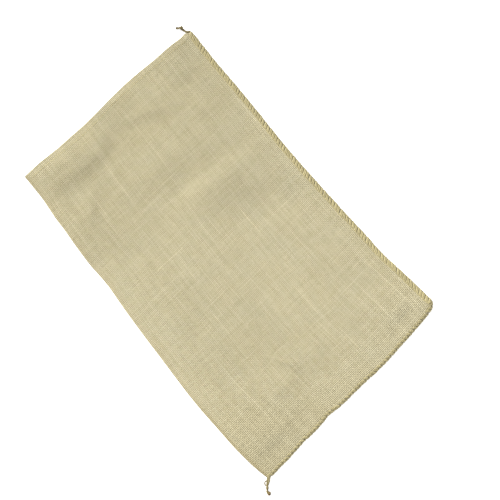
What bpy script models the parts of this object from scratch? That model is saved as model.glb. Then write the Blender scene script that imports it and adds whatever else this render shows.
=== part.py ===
"""Jute sack: one cloth folded lengthwise, sewn down one side and along the bottom, open at the mouth.

It lies flat on its back. +X runs across the sack from the fold to the side seam, +Y runs along it from
the sewn bottom to the open mouth, and +Z is up. The origin is under the middle of the sack's box.
Tables are in millimetres; everything that is built is in metres.
"""

import math
from collections import namedtuple

import bmesh
import bpy
from mathutils import Vector

MM = 0.001

# ------------------------------------------------------------------ driving sizes, millimetres

CLOTH = 1.1                 # one layer of jute cloth
HEM = 2.1                   # the mouth's turned hem, two layers pressed together
HEM_DEPTH = 14.0            # how far the hem reaches down from the mouth

YARN = 1.5                  # the band of seam yarn, over and under the cloth
SEAM_NOSE = 0.5             # how far the yarn bulges out in front of the cloth's edge
CLEAR = 0.3                 # gap between separate pieces
LAYER_GAP = 0.6             # gap between front and back where they are sewn together

CROWN_LOW = 5.6             # top of the front layer in the middle of the sack, by the bottom seam
CROWN_HIGH = 9.8            # and at the mouth, which gapes a little
FOLD_HEIGHT = 5.0           # the rounded fold, from its underside to its top
SEWN_FLAT = 14.0            # strip along the sewn edges that stays flat inside the seam
BACK_RISE = 26.0            # over which the back layer comes down to the surface
SIDE_RISE = 66.0            # over which the front layer climbs from the side seam and the fold
BOTTOM_RISE = 120.0         # over which it climbs from the bottom seam
SIDE_FADE = 44.0            # over which its folds die away towards the seams
FOLD_FADE = 34.0            # and towards the fold
BACKSET_REACH = 3.1         # the front's edge is drawn back over the last 1 / 3.1 of the length
CORNER_ROUND = 13.0         # rounding of the sewn bottom corner

SIDE_BAND = 10.5            # how far the seam yarn reaches in over the cloth, down the side
BOTTOM_BAND = 7.5           # and along the bottom

TAIL_DIAMETER = 4.6         # two seam yarns laid together
TAIL_STEP = 9.0             # a point of the tails' tubes about every two diameters

SEWN_UNDERSIDE = YARN + CLEAR
SEWN_TOP = SEWN_UNDERSIDE + 2 * CLOTH + LAYER_GAP

# ------------------------------------------------------------------ the outline

EdgeRow = namedtuple("EdgeRow", "along across")

# The fold, from the bottom up: along is Y, across is X of the fold's outside.
FOLD_EDGE = (
    EdgeRow(along=-435, across=-240.0),
    EdgeRow(along=-410, across=-246.0),
    EdgeRow(along=-382, across=-250.6),
    EdgeRow(along=-333, across=-255.3),
    EdgeRow(along=-298, across=-256.8),
    EdgeRow(along=-248, across=-259.3),
    EdgeRow(along=-203, across=-260.0),
    EdgeRow(along=-158, across=-259.0),
    EdgeRow(along=-98, across=-257.3),
    EdgeRow(along=-43, across=-255.9),
    EdgeRow(along=2, across=-254.1),
    EdgeRow(along=47, across=-251.7),
    EdgeRow(along=84, across=-249.2),
    EdgeRow(along=114, across=-249.8),
    EdgeRow(along=142, across=-251.4),
    EdgeRow(along=172, across=-251.0),
    EdgeRow(along=207, across=-249.6),
    EdgeRow(along=242, across=-247.4),
    EdgeRow(along=277, across=-246.6),
    EdgeRow(along=302, across=-244.5),
    EdgeRow(along=327, across=-242.6),
    EdgeRow(along=398, across=-242.5),
)

# The cloth's edge in the side seam, from the bottom up.
SIDE_EDGE = (
    EdgeRow(along=-386, across=258.3),
    EdgeRow(along=-349, across=256.0),
    EdgeRow(along=-312, across=252.4),
    EdgeRow(along=-274, across=248.6),
    EdgeRow(along=-237, across=244.6),
    EdgeRow(along=-174, across=243.8),
    EdgeRow(along=-124, across=241.9),
    EdgeRow(along=-74, across=241.1),
    EdgeRow(along=-24, across=239.9),
    EdgeRow(along=63, across=239.8),
    EdgeRow(along=113, across=241.0),
    EdgeRow(along=175, across=244.4),
    EdgeRow(along=225, across=246.2),
    EdgeRow(along=288, across=247.6),
    EdgeRow(along=350, across=248.6),
    EdgeRow(along=413, across=252.0),
    EdgeRow(along=439, across=252.8),
)

# The cloth's edge in the bottom seam, from the fold across: along is X, across is Y.
BOTTOM_EDGE = (
    EdgeRow(along=-241, across=-433.0),
    EdgeRow(along=-185, across=-429.6),
    EdgeRow(along=-138, across=-424.0),
    EdgeRow(along=-85, across=-418.9),
    EdgeRow(along=-41, across=-416.8),
    EdgeRow(along=11, across=-414.6),
    EdgeRow(along=64, across=-412.4),
    EdgeRow(along=102, across=-409.8),
    EdgeRow(along=139, across=-405.2),
    EdgeRow(along=177, across=-400.6),
    EdgeRow(along=227, across=-392.8),
    EdgeRow(along=259, across=-385.5),
)

# The open mouth, from the fold across: the back layer's edge.
MOUTH_EDGE = (
    EdgeRow(along=-243, across=394.5),
    EdgeRow(along=-205, across=398.2),
    EdgeRow(along=-168, across=400.7),
    EdgeRow(along=-143, across=402.2),
    EdgeRow(along=-118, across=404.4),
    EdgeRow(along=-93, across=406.2),
    EdgeRow(along=-68, across=408.8),
    EdgeRow(along=-43, across=411.9),
    EdgeRow(along=-18, across=415.5),
    EdgeRow(along=7, across=418.5),
    EdgeRow(along=32, across=421.3),
    EdgeRow(along=57, across=423.8),
    EdgeRow(along=82, across=425.3),
    EdgeRow(along=107, across=426.0),
    EdgeRow(along=144, across=427.1),
    EdgeRow(along=169, across=429.2),
    EdgeRow(along=194, across=431.5),
    EdgeRow(along=213, across=432.4),
    EdgeRow(along=226, across=433.4),
    EdgeRow(along=233, across=435.4),
    EdgeRow(along=237, across=436.8),
    EdgeRow(along=240, across=436.2),
    EdgeRow(along=245, across=431.6),
    EdgeRow(along=249, across=430.0),
    EdgeRow(along=254, across=429.2),
)

# How far the front layer's edge lies back from the back layer's: along is X.
FRONT_BACKSET = (
    EdgeRow(along=-243, across=0.0),
    EdgeRow(along=-193, across=2.6),
    EdgeRow(along=-141, across=5.2),
    EdgeRow(along=-93, across=6.0),
    EdgeRow(along=-43, across=4.5),
    EdgeRow(along=17, across=2.5),
    EdgeRow(along=82, across=0.8),
    EdgeRow(along=127, across=0.0),
    EdgeRow(along=254, across=0.0),
)

# ------------------------------------------------------------------ the lie of the front layer

FoldRow = namedtuple("FoldRow", "name x y heading length left right height")

# Soft swells (+) and troughs (-) of the front layer. x, y is the middle of a fold's crest and heading its
# direction in degrees from +X; left and right are how far it spreads to each side of that direction.
FOLDS = (
    FoldRow("rise under the mouth", x=-168, y=340, heading=1, length=340, left=120, right=26, height=1.9),
    FoldRow("rise climbing to mouth", x=-58, y=359, heading=27, length=160, left=70, right=24, height=1.0),
    FoldRow("rise falling to seam", x=52, y=347, heading=-17, length=170, left=70, right=22, height=1.2),
    FoldRow("dent by the mouth", x=15, y=410, heading=-10, length=150, left=30, right=26, height=1.4),
    FoldRow("swell above packing fold", x=-18, y=224, heading=3, length=330, left=80, right=36, height=1.5),
    FoldRow("packing fold, seam end", x=117, y=150, heading=0, length=330, left=45, right=24, height=-0.6),
    FoldRow("packing fold, fold end", x=-193, y=142, heading=2, length=260, left=24, right=50, height=-1.0),
    FoldRow("swell below packing fold", x=77, y=118, heading=-6, length=240, left=30, right=52, height=1.5),
    FoldRow("slack trough to seam", x=125, y=10, heading=-22, length=330, left=34, right=100, height=-1.5),
    FoldRow("swell beside the fold", x=-143, y=2, heading=3, length=420, left=80, right=150, height=1.1),
    FoldRow("wrinkle by the fold", x=-175, y=243, heading=57, length=120, left=24, right=14, height=1.1),
    FoldRow("pucker by the bottom", x=-67, y=-277, heading=-64, length=110, left=13, right=12, height=1.4),
    FoldRow("dip to folded corner", x=-203, y=-382, heading=3, length=300, left=130, right=26, height=0.8),
)

# ------------------------------------------------------------------ the tails

RoutePoint = namedtuple("RoutePoint", "x y z")

MOUTH_TAIL = (
    RoutePoint(x=250.6, y=432.9, z=3.8),
    RoutePoint(x=247.6, y=435.6, z=3.6),
    RoutePoint(x=244.9, y=438.0, z=3.3),
    RoutePoint(x=243.6, y=441.2, z=2.9),
    RoutePoint(x=242.5, y=445.0, z=2.5),
    RoutePoint(x=241.6, y=449.2, z=2.5),
    RoutePoint(x=241.3, y=453.0, z=2.5),
    RoutePoint(x=239.3, y=456.9, z=2.5),
    RoutePoint(x=235.4, y=458.6, z=2.5),
    RoutePoint(x=232.2, y=461.6, z=2.5),
)

BOTTOM_TAIL = (
    RoutePoint(x=-242.8, y=-436.6, z=3.6),
    RoutePoint(x=-245.2, y=-439.0, z=3.2),
    RoutePoint(x=-248.4, y=-441.6, z=2.8),
    RoutePoint(x=-252.7, y=-445.2, z=2.5),
    RoutePoint(x=-256.7, y=-449.4, z=2.5),
    RoutePoint(x=-259.5, y=-453.4, z=2.5),
    RoutePoint(x=-260.2, y=-457.7, z=2.5),
    RoutePoint(x=-257.8, y=-461.1, z=2.5),
)

# ------------------------------------------------------------------ how finely the solids are cut

# Distances in from an edge at which the cloth's rows and columns lie close together.
SEWN_STEPS = (0.0, 5.0, 9.5, SEWN_FLAT, 26.0, 44.0)
FOLD_STEPS = (0.0, 14.0, 34.0)
MOUTH_STEPS = (0.0, HEM_DEPTH, HEM_DEPTH + 1.5, 36.0)
FRONT_COLUMNS = 22
BACK_COLUMNS = 11
MIDDLE_ROWS = 38
NOSE_STEPS = 5
NOMINAL_WIDTH = 496.0
NOMINAL_LENGTH = 830.0


# ------------------------------------------------------------------ small helpers

def smooth(value):
    """Ease from 0 to 1 as value goes from 0 to 1, flat at both ends."""
    value = min(max(value, 0.0), 1.0)
    return value * value * (3.0 - 2.0 * value)


def mix(start, end, share):
    return start + (end - start) * share


def read_edge(rows, along):
    """Where an edge lies at one place along it, on a smooth curve through the table's rows."""
    last = len(rows) - 2
    index = 0
    while index < last and along > rows[index + 1].along:
        index += 1
    slopes = [
        (after.across - before.across) / (after.along - before.along)
        for before, after in zip(rows, rows[1:])
    ]
    here, there = rows[index], rows[index + 1]
    span = there.along - here.along
    entering = (slopes[max(index - 1, 0)] + slopes[index]) / 2
    leaving = (slopes[index] + slopes[min(index + 1, last)]) / 2
    share = min(max((along - here.along) / span, 0.0), 1.0)
    square, cube = share ** 2, share ** 3
    return (
        (2 * cube - 3 * square + 1) * here.across
        + (cube - 2 * square + share) * span * entering
        + (3 * square - 2 * cube) * there.across
        + (cube - square) * span * leaving
    )


def stations(low_steps, count, high_steps, size):
    """Shares from 0 to 1, close together at both ends and even between them."""
    low, high = low_steps[-1] / size, 1.0 - high_steps[-1] / size
    places = [step / size for step in low_steps[:-1]]
    places += [mix(low, high, number / count) for number in range(count + 1)]
    places += [1.0 - step / size for step in reversed(high_steps[:-1])]
    return places


# ------------------------------------------------------------------ the cloth's place

def plan(across, along):
    """Plan position, from shares of the way across (fold to side seam) and along (bottom to mouth)."""
    x = mix(FOLD_EDGE[0].across, SIDE_EDGE[0].across, across)
    for _ in range(2):
        y = mix(read_edge(BOTTOM_EDGE, x), read_edge(MOUTH_EDGE, x), along)
        x = mix(read_edge(FOLD_EDGE, y), read_edge(SIDE_EDGE, y), across)
    return round_corner(x, y)


def round_corner(x, y):
    """Round the sewn bottom corner: its square is drawn in to a quarter circle."""
    side, bottom = read_edge(SIDE_EDGE, y), read_edge(BOTTOM_EDGE, x)
    out_x = 1.0 - (side - x) / CORNER_ROUND
    out_y = 1.0 - (y - bottom) / CORNER_ROUND
    if out_x <= 0.0 or out_y <= 0.0:
        return x, y
    drawn_x = out_x * math.sqrt(1.0 - out_y ** 2 / 2)
    drawn_y = out_y * math.sqrt(1.0 - out_x ** 2 / 2)
    return (
        side - CORNER_ROUND * (1.0 - drawn_x),
        bottom + CORNER_ROUND * (1.0 - drawn_y),
    )


def from_sewn(across, along, side_rise, bottom_rise):
    """0 on the flat strip along the sewn edges, 1 beyond both rises, blended round the corner."""
    side = ((1.0 - across) * NOMINAL_WIDTH - SEWN_FLAT) / side_rise
    bottom = (along * NOMINAL_LENGTH - SEWN_FLAT) / bottom_rise
    short_side = 1.0 - min(max(side, 0.0), 1.0)
    short_bottom = 1.0 - min(max(bottom, 0.0), 1.0)
    return smooth(1.0 - math.hypot(short_side, short_bottom))


def back_underside(across, along):
    """Height of the back layer's underside: on the surface, but raised into the seam's middle."""
    return SEWN_UNDERSIDE * (1.0 - from_sewn(across, along, BACK_RISE, BACK_RISE))


def front_top(across, along):
    """Height of the front layer's top, before its folds."""
    at_fold = mix(SEWN_TOP, FOLD_HEIGHT, from_sewn(across, along, BACK_RISE, BACK_RISE))
    crown = mix(CROWN_LOW, CROWN_HIGH, along)
    at_crown = mix(SEWN_TOP, crown, from_sewn(across, along, SIDE_RISE, BOTTOM_RISE))
    from_fold = across * NOMINAL_WIDTH
    return mix(at_fold, at_crown, math.sin(math.pi / 2 * min(from_fold / SIDE_RISE, 1.0)))


def folds_height(x, y, across, along):
    """How far the table's swells and troughs lift the front layer at one place."""
    total = 0.0
    for fold in FOLDS:
        heading = math.radians(fold.heading)
        ahead = (x - fold.x) * math.cos(heading) + (y - fold.y) * math.sin(heading)
        aside = (y - fold.y) * math.cos(heading) - (x - fold.x) * math.sin(heading)
        spread = fold.left if aside > 0.0 else fold.right
        taper = 1.0 - smooth(abs(ahead) / (fold.length / 2))
        total += fold.height * taper * math.exp(-((aside / spread) ** 2))
    fade = from_sewn(across, along, SIDE_FADE, SIDE_FADE)
    fade *= smooth(across * NOMINAL_WIDTH / FOLD_FADE)
    fade *= mix(0.5, 1.0, smooth((1.0 - along) * NOMINAL_LENGTH / (3 * HEM_DEPTH)))
    return total * fade


# ------------------------------------------------------------------ building

def material(name, colour, roughness):
    made = bpy.data.materials.new(name)
    made.use_nodes = True
    shader = made.node_tree.nodes["Principled BSDF"]
    shader.inputs["Base Color"].default_value = (*colour, 1.0)
    shader.inputs["Roughness"].default_value = roughness
    shader.inputs["Metallic"].default_value = 0.0
    return made


def placed_grid(name, columns, rows, place, collection):
    """A sheet of columns by rows cells, with place(column, row) giving each point in millimetres."""
    sheet = bmesh.new()
    bmesh.ops.create_grid(sheet, x_segments=columns, y_segments=rows, size=0.5)
    for vertex in sheet.verts:
        column = round((vertex.co.x + 0.5) * columns)
        row = round((vertex.co.y + 0.5) * rows)
        vertex.co = Vector(place(column, row)) * MM
    mesh = bpy.data.meshes.new(name)
    sheet.to_mesh(mesh)
    sheet.free()
    piece = bpy.data.objects.new(name, mesh)
    collection.objects.link(piece)
    return piece


def thicken(piece, thickness):
    """Give an open sheet its thickness, behind the side that its faces show."""
    solidify = piece.modifiers.new("Thickness", "SOLIDIFY")
    solidify.thickness = thickness * MM
    solidify.offset = -1.0
    solidify.use_even_offset = True
    solidify.use_quality_normals = True
    return solidify


def row_shares():
    """Shares along the cloth, from the sewn bottom to the mouth."""
    return stations(SEWN_STEPS, MIDDLE_ROWS, MOUTH_STEPS, NOMINAL_LENGTH)


def front_shares():
    """Shares across the front layer, from the fold to the side seam."""
    return stations(FOLD_STEPS, FRONT_COLUMNS, SEWN_STEPS, NOMINAL_WIDTH)


def cloth_section():
    """The cloth's section from the sewn edge of the back, round the fold, to that of the front.

    Each entry is (layer, share across, angle round the fold).
    """
    back = stations(FOLD_STEPS, BACK_COLUMNS, SEWN_STEPS, NOMINAL_WIDTH)
    section = [("back", share, 0.0) for share in reversed(back)]
    section += [("nose", 0.0, math.pi * step / NOSE_STEPS) for step in range(1, NOSE_STEPS)]
    section += [("front", share, 0.0) for share in front_shares()]
    return section


def cloth_point(layer, across, angle, along):
    x, y = plan(across, along)
    low = back_underside(across, along)
    high = front_top(across, along)
    radius = (front_top(0.0, along) - back_underside(0.0, along)) / 2
    x += radius * (1.0 - across)
    if layer == "back":
        return x, y, low
    if layer == "nose":
        return x - radius * math.sin(angle), y, low + radius * (1.0 - math.cos(angle))
    backset = read_edge(FRONT_BACKSET, x) * smooth(along * BACKSET_REACH - BACKSET_REACH + 1.0)
    return x, y - backset, high + folds_height(x, y, across, along)


def build_cloth(collection, fabric):
    section = cloth_section()
    shares = row_shares()
    columns, rows = len(section) - 1, len(shares) - 1
    piece = placed_grid(
        "sack_cloth",
        columns,
        rows,
        lambda column, row: cloth_point(*section[column], shares[row]),
        collection,
    )
    piece.data.materials.append(fabric)
    thickness = thicken(piece, HEM)

    # The hem is the cloth turned in on itself: full thickness there, one layer everywhere else.
    hem = piece.vertex_groups.new(name="hem")
    hem_shares = shares[-2:]
    hem_points = [
        row * (columns + 1) + column
        for row, share in enumerate(shares)
        if share in hem_shares
        for column, entry in enumerate(section)
        if entry[1] * NOMINAL_WIDTH < NOMINAL_WIDTH - 2 * SEWN_FLAT and entry[0] != "nose"
    ]
    hem.add(hem_points, 1.0, "REPLACE")
    thickness.vertex_group = hem.name
    thickness.thickness_vertex_group = CLOTH / HEM
    return piece


def edge_path():
    """The cloth's raw edge from the mouth down the side, round the corner and along to the fold.

    Each entry is (x, y, how far the yarn reaches in). It has the cloth's own rows and columns.
    """
    down = [share for share in reversed(row_shares()) if share > 0.0]
    path = [(*plan(1.0, along), SIDE_BAND) for along in down]
    for across in reversed(front_shares()):
        x, y, _ = cloth_point("back", across, 0.0, 0.0)
        path.append((x, y, BOTTOM_BAND))
    return path


def seam_section(reach):
    """The inside of the yarn band, as (distance out from the cloth's edge, height)."""
    low, high = SEWN_UNDERSIDE - CLEAR, SEWN_TOP + CLEAR
    middle = (low + high) / 2
    return (
        (-reach, high),
        (-reach / 2, high),
        (CLEAR, high),
        (CLEAR + SEAM_NOSE, middle),
        (CLEAR, low),
        (-reach / 2, low),
        (-reach, low),
    )


def build_seam(collection, yarn):
    path = edge_path()
    last = len(path) - 1

    def point(column, row):
        x, y, reach = path[row]
        before, after = path[max(row - 1, 0)], path[min(row + 1, last)]
        run = Vector((after[0] - before[0], after[1] - before[1], 0.0)).normalized()
        outward = Vector((-run.y, run.x, 0.0))
        out, height = seam_section(reach)[column]
        return x + outward.x * out, y + outward.y * out, height

    columns = len(seam_section(SIDE_BAND)) - 1
    piece = placed_grid("edge_seam", columns, last, point, collection)
    piece.data.materials.append(yarn)
    thicken(piece, YARN)
    return piece


def smooth_route(points):
    """Points along a smooth curve through a tail's route, a step apart."""
    route = [Vector(point) for point in points]
    fine = []
    for index in range(len(route) - 1):
        first = route[max(index - 1, 0)]
        start, end = route[index], route[index + 1]
        last = route[min(index + 2, len(route) - 1)]
        for step in range(8):
            share = step / 8
            fine.append(
                start * (1.0 + share ** 2 * (2 * share - 3))
                + end * (share ** 2 * (3 - 2 * share))
                + (end - first) * 0.5 * (share * (1 - share) ** 2)
                + (last - start) * 0.5 * (share ** 2 * (share - 1))
            )
    fine.append(route[-1])
    length = sum((b - a).length for a, b in zip(fine, fine[1:]))
    count = max(round(length / TAIL_STEP), 4)
    picked, walked, target = [fine[0]], 0.0, length / count
    for before, after in zip(fine, fine[1:]):
        piece = (after - before).length
        while walked + piece >= target * len(picked) and len(picked) < count:
            picked.append(before.lerp(after, (target * len(picked) - walked) / piece))
        walked += piece
    return picked + [fine[-1]]


def build_tail(name, points, collection, yarn):
    curve = bpy.data.curves.new(name, "CURVE")
    curve.dimensions = "3D"
    curve.bevel_depth = TAIL_DIAMETER / 2 * MM
    curve.bevel_resolution = 2
    curve.use_fill_caps = True
    spline = curve.splines.new("POLY")
    route = smooth_route(points)
    spline.points.add(len(route) - 1)
    for place, point in zip(spline.points, route):
        place.co = (*(point * MM), 1.0)
    curve.materials.append(yarn)
    piece = bpy.data.objects.new(name, curve)
    collection.objects.link(piece)
    return piece


def main():
    for item in list(bpy.data.objects):
        bpy.data.objects.remove(item, do_unlink=True)
    sack = bpy.data.collections.new("jute_sack")
    bpy.context.scene.collection.children.link(sack)

    jute_cloth = material("jute_cloth", (0.56, 0.50, 0.33), 0.95)
    jute_yarn = material("jute_yarn", (0.48, 0.40, 0.19), 0.9)

    cloth = build_cloth(sack, jute_cloth)
    seam = build_seam(sack, jute_yarn)
    build_tail("mouth_tail", MOUTH_TAIL, sack, jute_yarn)
    build_tail("bottom_tail", BOTTOM_TAIL, sack, jute_yarn)
    for piece in (cloth, seam):
        piece.data.shade_smooth()


main()
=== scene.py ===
"""Jute sack lying flat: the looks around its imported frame, laid out as an add-on and run as a script.

The sack is one cloth folded lengthwise, overhead-sewn down one side and along the bottom, open at the
hemmed mouth. +X runs across it from the fold to the side seam, +Y runs along it from the bottom to the
mouth, and +Z is up. Shape tables are in millimetres, as a cutter would write them, and everything that
is built is in metres. Each piece's place is in its mesh.
"""

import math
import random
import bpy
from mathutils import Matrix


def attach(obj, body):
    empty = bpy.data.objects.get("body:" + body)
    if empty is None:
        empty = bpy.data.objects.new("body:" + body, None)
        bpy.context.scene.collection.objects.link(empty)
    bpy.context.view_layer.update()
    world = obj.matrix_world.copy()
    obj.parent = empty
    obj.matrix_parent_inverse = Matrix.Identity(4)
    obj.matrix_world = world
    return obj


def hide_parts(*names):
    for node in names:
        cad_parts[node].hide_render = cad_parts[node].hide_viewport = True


bl_info = {
    "name": "Jute Sack",
    "version": (1, 0, 0),
    "blender": (4, 5, 0),
    "location": "3D View > Sidebar > Jute Sack",
    "description": "Builds the cloth, seams, yarn ends and studio of a flat jute sack",
    "category": "Object",
}

from collections import namedtuple

import bmesh
import bpy
from bpy.props import FloatProperty, FloatVectorProperty, IntProperty, PointerProperty
from mathutils import Vector, noise

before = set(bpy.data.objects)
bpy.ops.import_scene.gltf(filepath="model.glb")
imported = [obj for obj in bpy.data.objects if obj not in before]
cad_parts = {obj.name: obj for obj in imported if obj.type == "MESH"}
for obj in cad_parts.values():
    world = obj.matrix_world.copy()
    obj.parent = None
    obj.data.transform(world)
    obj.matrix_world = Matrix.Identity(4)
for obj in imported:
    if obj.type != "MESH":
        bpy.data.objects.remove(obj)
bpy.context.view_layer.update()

MM = 0.001

# ------------------------------------------------------------------ the cloth's own sizes, millimetres

WIDTH = 496.0               # front layer, from the fold to the side seam
LENGTH = 830.0              # from the sewn bottom to the mouth
NOSE_RUN = 8.0              # cloth that goes round the fold
FOLD_PROUD = 2.2            # how far the soft fold stands out past the frame's
CROWN_LOW = 5.6             # top of the front layer in the middle of the sack, by the bottom seam
CROWN_HIGH = 9.8            # and at the mouth, which gapes a little
FOLD_HEIGHT = 5.0           # the rounded fold, from its underside to its top
SEWN_UNDERSIDE = 1.8        # underside of the back layer where the seam yarn passes below it
SEWN_TOP = 4.6              # top of the front layer at the sewn edges
SEWN_FLAT = 14.0            # strip along the sewn edges that stays flat
BACK_RISE = 26.0            # over which the back layer comes down to the surface
SIDE_RISE = 66.0            # over which the front layer climbs from the side seam and the fold
BOTTOM_RISE = 120.0         # over which it climbs from the bottom seam
SEAM_PULL = 0.9             # how far the stitches draw the front layer down
SEAM_PULL_RUN = 9.0         # and over what distance in from the sewn edges
CORNER_ROUND = 13.0         # rounding of the sewn bottom corner
HEM_TURN = 1.15             # radius of the hem's turned edge, outside
HEM_STOP = 20.0             # the turned hem stops this far from the sewn edge
HEM_PROUD = 0.46            # how far the doubled hem stands up
HEM_CREST = 10.0            # where it stands highest, from the mouth
HEM_SWELL = 1.6             # power of its rise up to there
HEM_FALL = 9.0              # over which it comes down again
HEM_GROOVE = 0.08           # how deep its stitches draw the cloth
HEM_GROOVE_AT = 15.0        # from the mouth
HEM_GROOVE_WIDE = 2.4
HEM_RELIEF_END = 30.0       # no relief of the hem past this
HEM_BY_FOLD = 0.75          # share of the relief by the fold
HEM_FADE = 12.0             # over which the relief dies out at the fold
BACKSET_START = 560.0       # from here up the front layer's edge lies back
PUCKER_ACROSS = (82, 245)   # the flat cloth has finer cells from here to here across
PUCKER_ALONG = (60, 215)    # and along, for the small puckers

# ------------------------------------------------------------------ the outline

EdgeRow = namedtuple("EdgeRow", "along across")


def edge_table(*rows):
    """An edge's table, from pairs: a place along the edge, and where the edge lies across it."""
    return tuple(EdgeRow(*row) for row in rows)


# The fold, from the bottom up: along is Y, across is X of the fold's outside.
FOLD_EDGE = edge_table(
    (-435, -240.0), (-410, -246.0), (-382, -250.6), (-333, -255.3), (-298, -256.8),
    (-248, -259.3), (-203, -260.0), (-158, -259.0), (-98, -257.3), (-43, -255.9),
    (2, -254.1), (47, -251.7), (84, -249.2), (114, -249.8), (142, -251.4),
    (172, -251.0), (207, -249.6), (242, -247.4), (277, -246.6), (302, -244.5),
    (327, -242.6), (398, -242.5),
)

# The cloth's edge in the side seam, from the bottom up.
SIDE_EDGE = edge_table(
    (-386, 258.3), (-349, 256.0), (-312, 252.4), (-274, 248.6), (-237, 244.6),
    (-174, 243.8), (-124, 241.9), (-74, 241.1), (-24, 239.9), (63, 239.8),
    (113, 241.0), (175, 244.4), (225, 246.2), (288, 247.6), (350, 248.6),
    (413, 252.0), (439, 252.8),
)

# The cloth's edge in the bottom seam, from the fold across: along is X, across is Y.
BOTTOM_EDGE = edge_table(
    (-241, -433.0), (-226, -433.4), (-209, -431.2), (-185, -429.6), (-162, -426.8),
    (-138, -423.4), (-121, -423.0), (-85, -419.6), (-68, -415.9), (-53, -416.2),
    (-41, -417.2), (-21, -416.8), (11, -414.6), (39, -412.9), (64, -412.6),
    (102, -409.8), (139, -405.2), (177, -400.6), (202, -397.0), (227, -392.8),
    (259, -385.5),
)

# The open mouth, from the fold across: the back layer's edge.
MOUTH_EDGE = edge_table(
    (-243, 394.5), (-205, 398.2), (-168, 400.7), (-143, 402.2), (-118, 404.4),
    (-93, 406.2), (-68, 408.8), (-43, 411.9), (-18, 415.5), (7, 418.5),
    (32, 421.3), (57, 423.8), (82, 425.3), (107, 426.0), (144, 427.1),
    (169, 429.2), (194, 431.5), (213, 432.4), (226, 433.4), (233, 435.4),
    (237, 436.8), (240, 436.2), (245, 431.6), (249, 430.0), (254, 429.2),
)

# How far the front layer's edge lies back from the back layer's: along is X.
FRONT_BACKSET = edge_table(
    (-243, 0.0), (-193, 2.6), (-141, 5.2), (-93, 6.0), (-43, 4.5),
    (17, 2.5), (82, 0.8), (127, 0.0), (254, 0.0),
)

# ------------------------------------------------------------------ the lie of the front layer

FoldRow = namedtuple("FoldRow", "x y heading length left right height crisp")

# Swells (+) and troughs (-) of the front layer. x, y is the middle of the crest, and heading is its
# direction in degrees from +X. Left and right are how far it spreads to each side of that direction, so
# that a fold may be steep on one side. Crisp is 0 for a soft swell and 1 for a pressed crease.
FOLDS = (
    FoldRow(-168, 340, 1, 340, 120, 24, 3.0, 0.0),      # rise under the mouth
    FoldRow(-140, 386, 3, 250, 34, 38, 2.0, 0.0),       # shoulder of that rise
    FoldRow(-131, 333, 8, 120, 24, 15, 0.9, 0.0),       # pinch in that rise
    FoldRow(-58, 359, 27, 160, 70, 20, 2.0, 0.0),       # rise climbing to the mouth
    FoldRow(58, 341, -26, 200, 70, 18, 2.9, 0.0),       # rise falling to the side seam
    FoldRow(133, 288, -74, 150, 50, 14, 1.9, 0.0),      # lower end of that rise
    FoldRow(168, 362, 0, 130, 50, 18, 1.7, 0.0),        # rise by the side seam
    FoldRow(15, 410, -10, 150, 30, 26, 3.0, 0.0),       # low swell by the mouth
    FoldRow(-10, 224, 3, 310, 80, 36, 2.9, 0.0),        # swell above packing fold
    FoldRow(117, 150, 0, 330, 60, 26, -1.1, 1.0),       # packing fold, seam end
    FoldRow(5, 152, 0, 150, 40, 24, -1.2, 0.7),         # packing fold, middle
    FoldRow(-193, 142, 2, 260, 44, 64, -1.5, 0.8),      # packing fold, fold end
    FoldRow(77, 118, -6, 240, 30, 52, 2.9, 0.0),        # swell below packing fold
    FoldRow(125, 14, -22, 330, 34, 80, -3.0, 0.0),      # slack trough to the seam
    FoldRow(-143, 2, 3, 420, 74, 190, 2.6, 0.0),        # swell beside the fold
    FoldRow(-175, 243, 57, 120, 24, 10, 2.3, 0.0),      # wrinkle by the fold
    FoldRow(-67, -277, -64, 100, 11.0, 4.6, 3.2, 0.3),  # pucker above the bottom
    FoldRow(-121, -312, -76, 62, 6.0, 3.6, 1.5, 0.4),   # small pucker by the corner
    FoldRow(-88, -314, 4, 90, 16, 10, 0.8, 0.0),        # low swell beside the puckers
    FoldRow(-49, -188, 88, 190, 9, 9, 0.7, 0.8),        # lengthwise packing fold
    FoldRow(40, -90, 88, 110, 8, 8, 0.5, 0.8),          # short lengthwise fold
    FoldRow(-203, -380, 3, 300, 130, 22, 2.3, 0.0),     # swell that dips to the folded corner
    FoldRow(190, -350, 6, 150, 50, 17, 1.7, 0.0),       # swell that dips to the side corner
    FoldRow(65, -290, -45, 110, 8, 8, -0.4, 0.6),       # faint slanting crease
)

FOLD_SPREADS = 4.0          # a fold counts up to this many of its own spreads
CREASE_FALL = 1.2           # how fast a pressed crease falls off beside its line
LIE_SIDE_RISE = 40.0        # over which folds and unevenness set in from the side seam
LIE_BOTTOM_RISE = 46.0      # from the bottom seam
LIE_FOLD_RISE = 34.0        # and from the fold
LIE_AT_MOUTH = 0.55         # share of them that is left at the hem
LIE_MOUTH_RUN = 40.0

NoiseRow = namedtuple("NoiseRow", "size height seed")

# Small unevenness of the resting cloth, coarse to fine.
UNEVENNESS = (
    NoiseRow(size=110, height=0.35, seed=3.0),
    NoiseRow(size=45, height=0.22, seed=11.0),
    NoiseRow(size=19, height=0.13, seed=29.0),
)

# ------------------------------------------------------------------ the loose yarn ends, metres

RoutePoint = namedtuple("RoutePoint", "x y z")

MOUTH_TAIL = (
    RoutePoint(0.2506, 0.4329, 0.0038),
    RoutePoint(0.2476, 0.4356, 0.0036),
    RoutePoint(0.2449, 0.4380, 0.0033),
    RoutePoint(0.2436, 0.4412, 0.0029),
    RoutePoint(0.2425, 0.4450, 0.0025),
    RoutePoint(0.2416, 0.4492, 0.0025),
    RoutePoint(0.2413, 0.4530, 0.0025),
    RoutePoint(0.2393, 0.4569, 0.0025),
    RoutePoint(0.2354, 0.4586, 0.0025),
    RoutePoint(0.2322, 0.4616, 0.0025),
)

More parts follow.
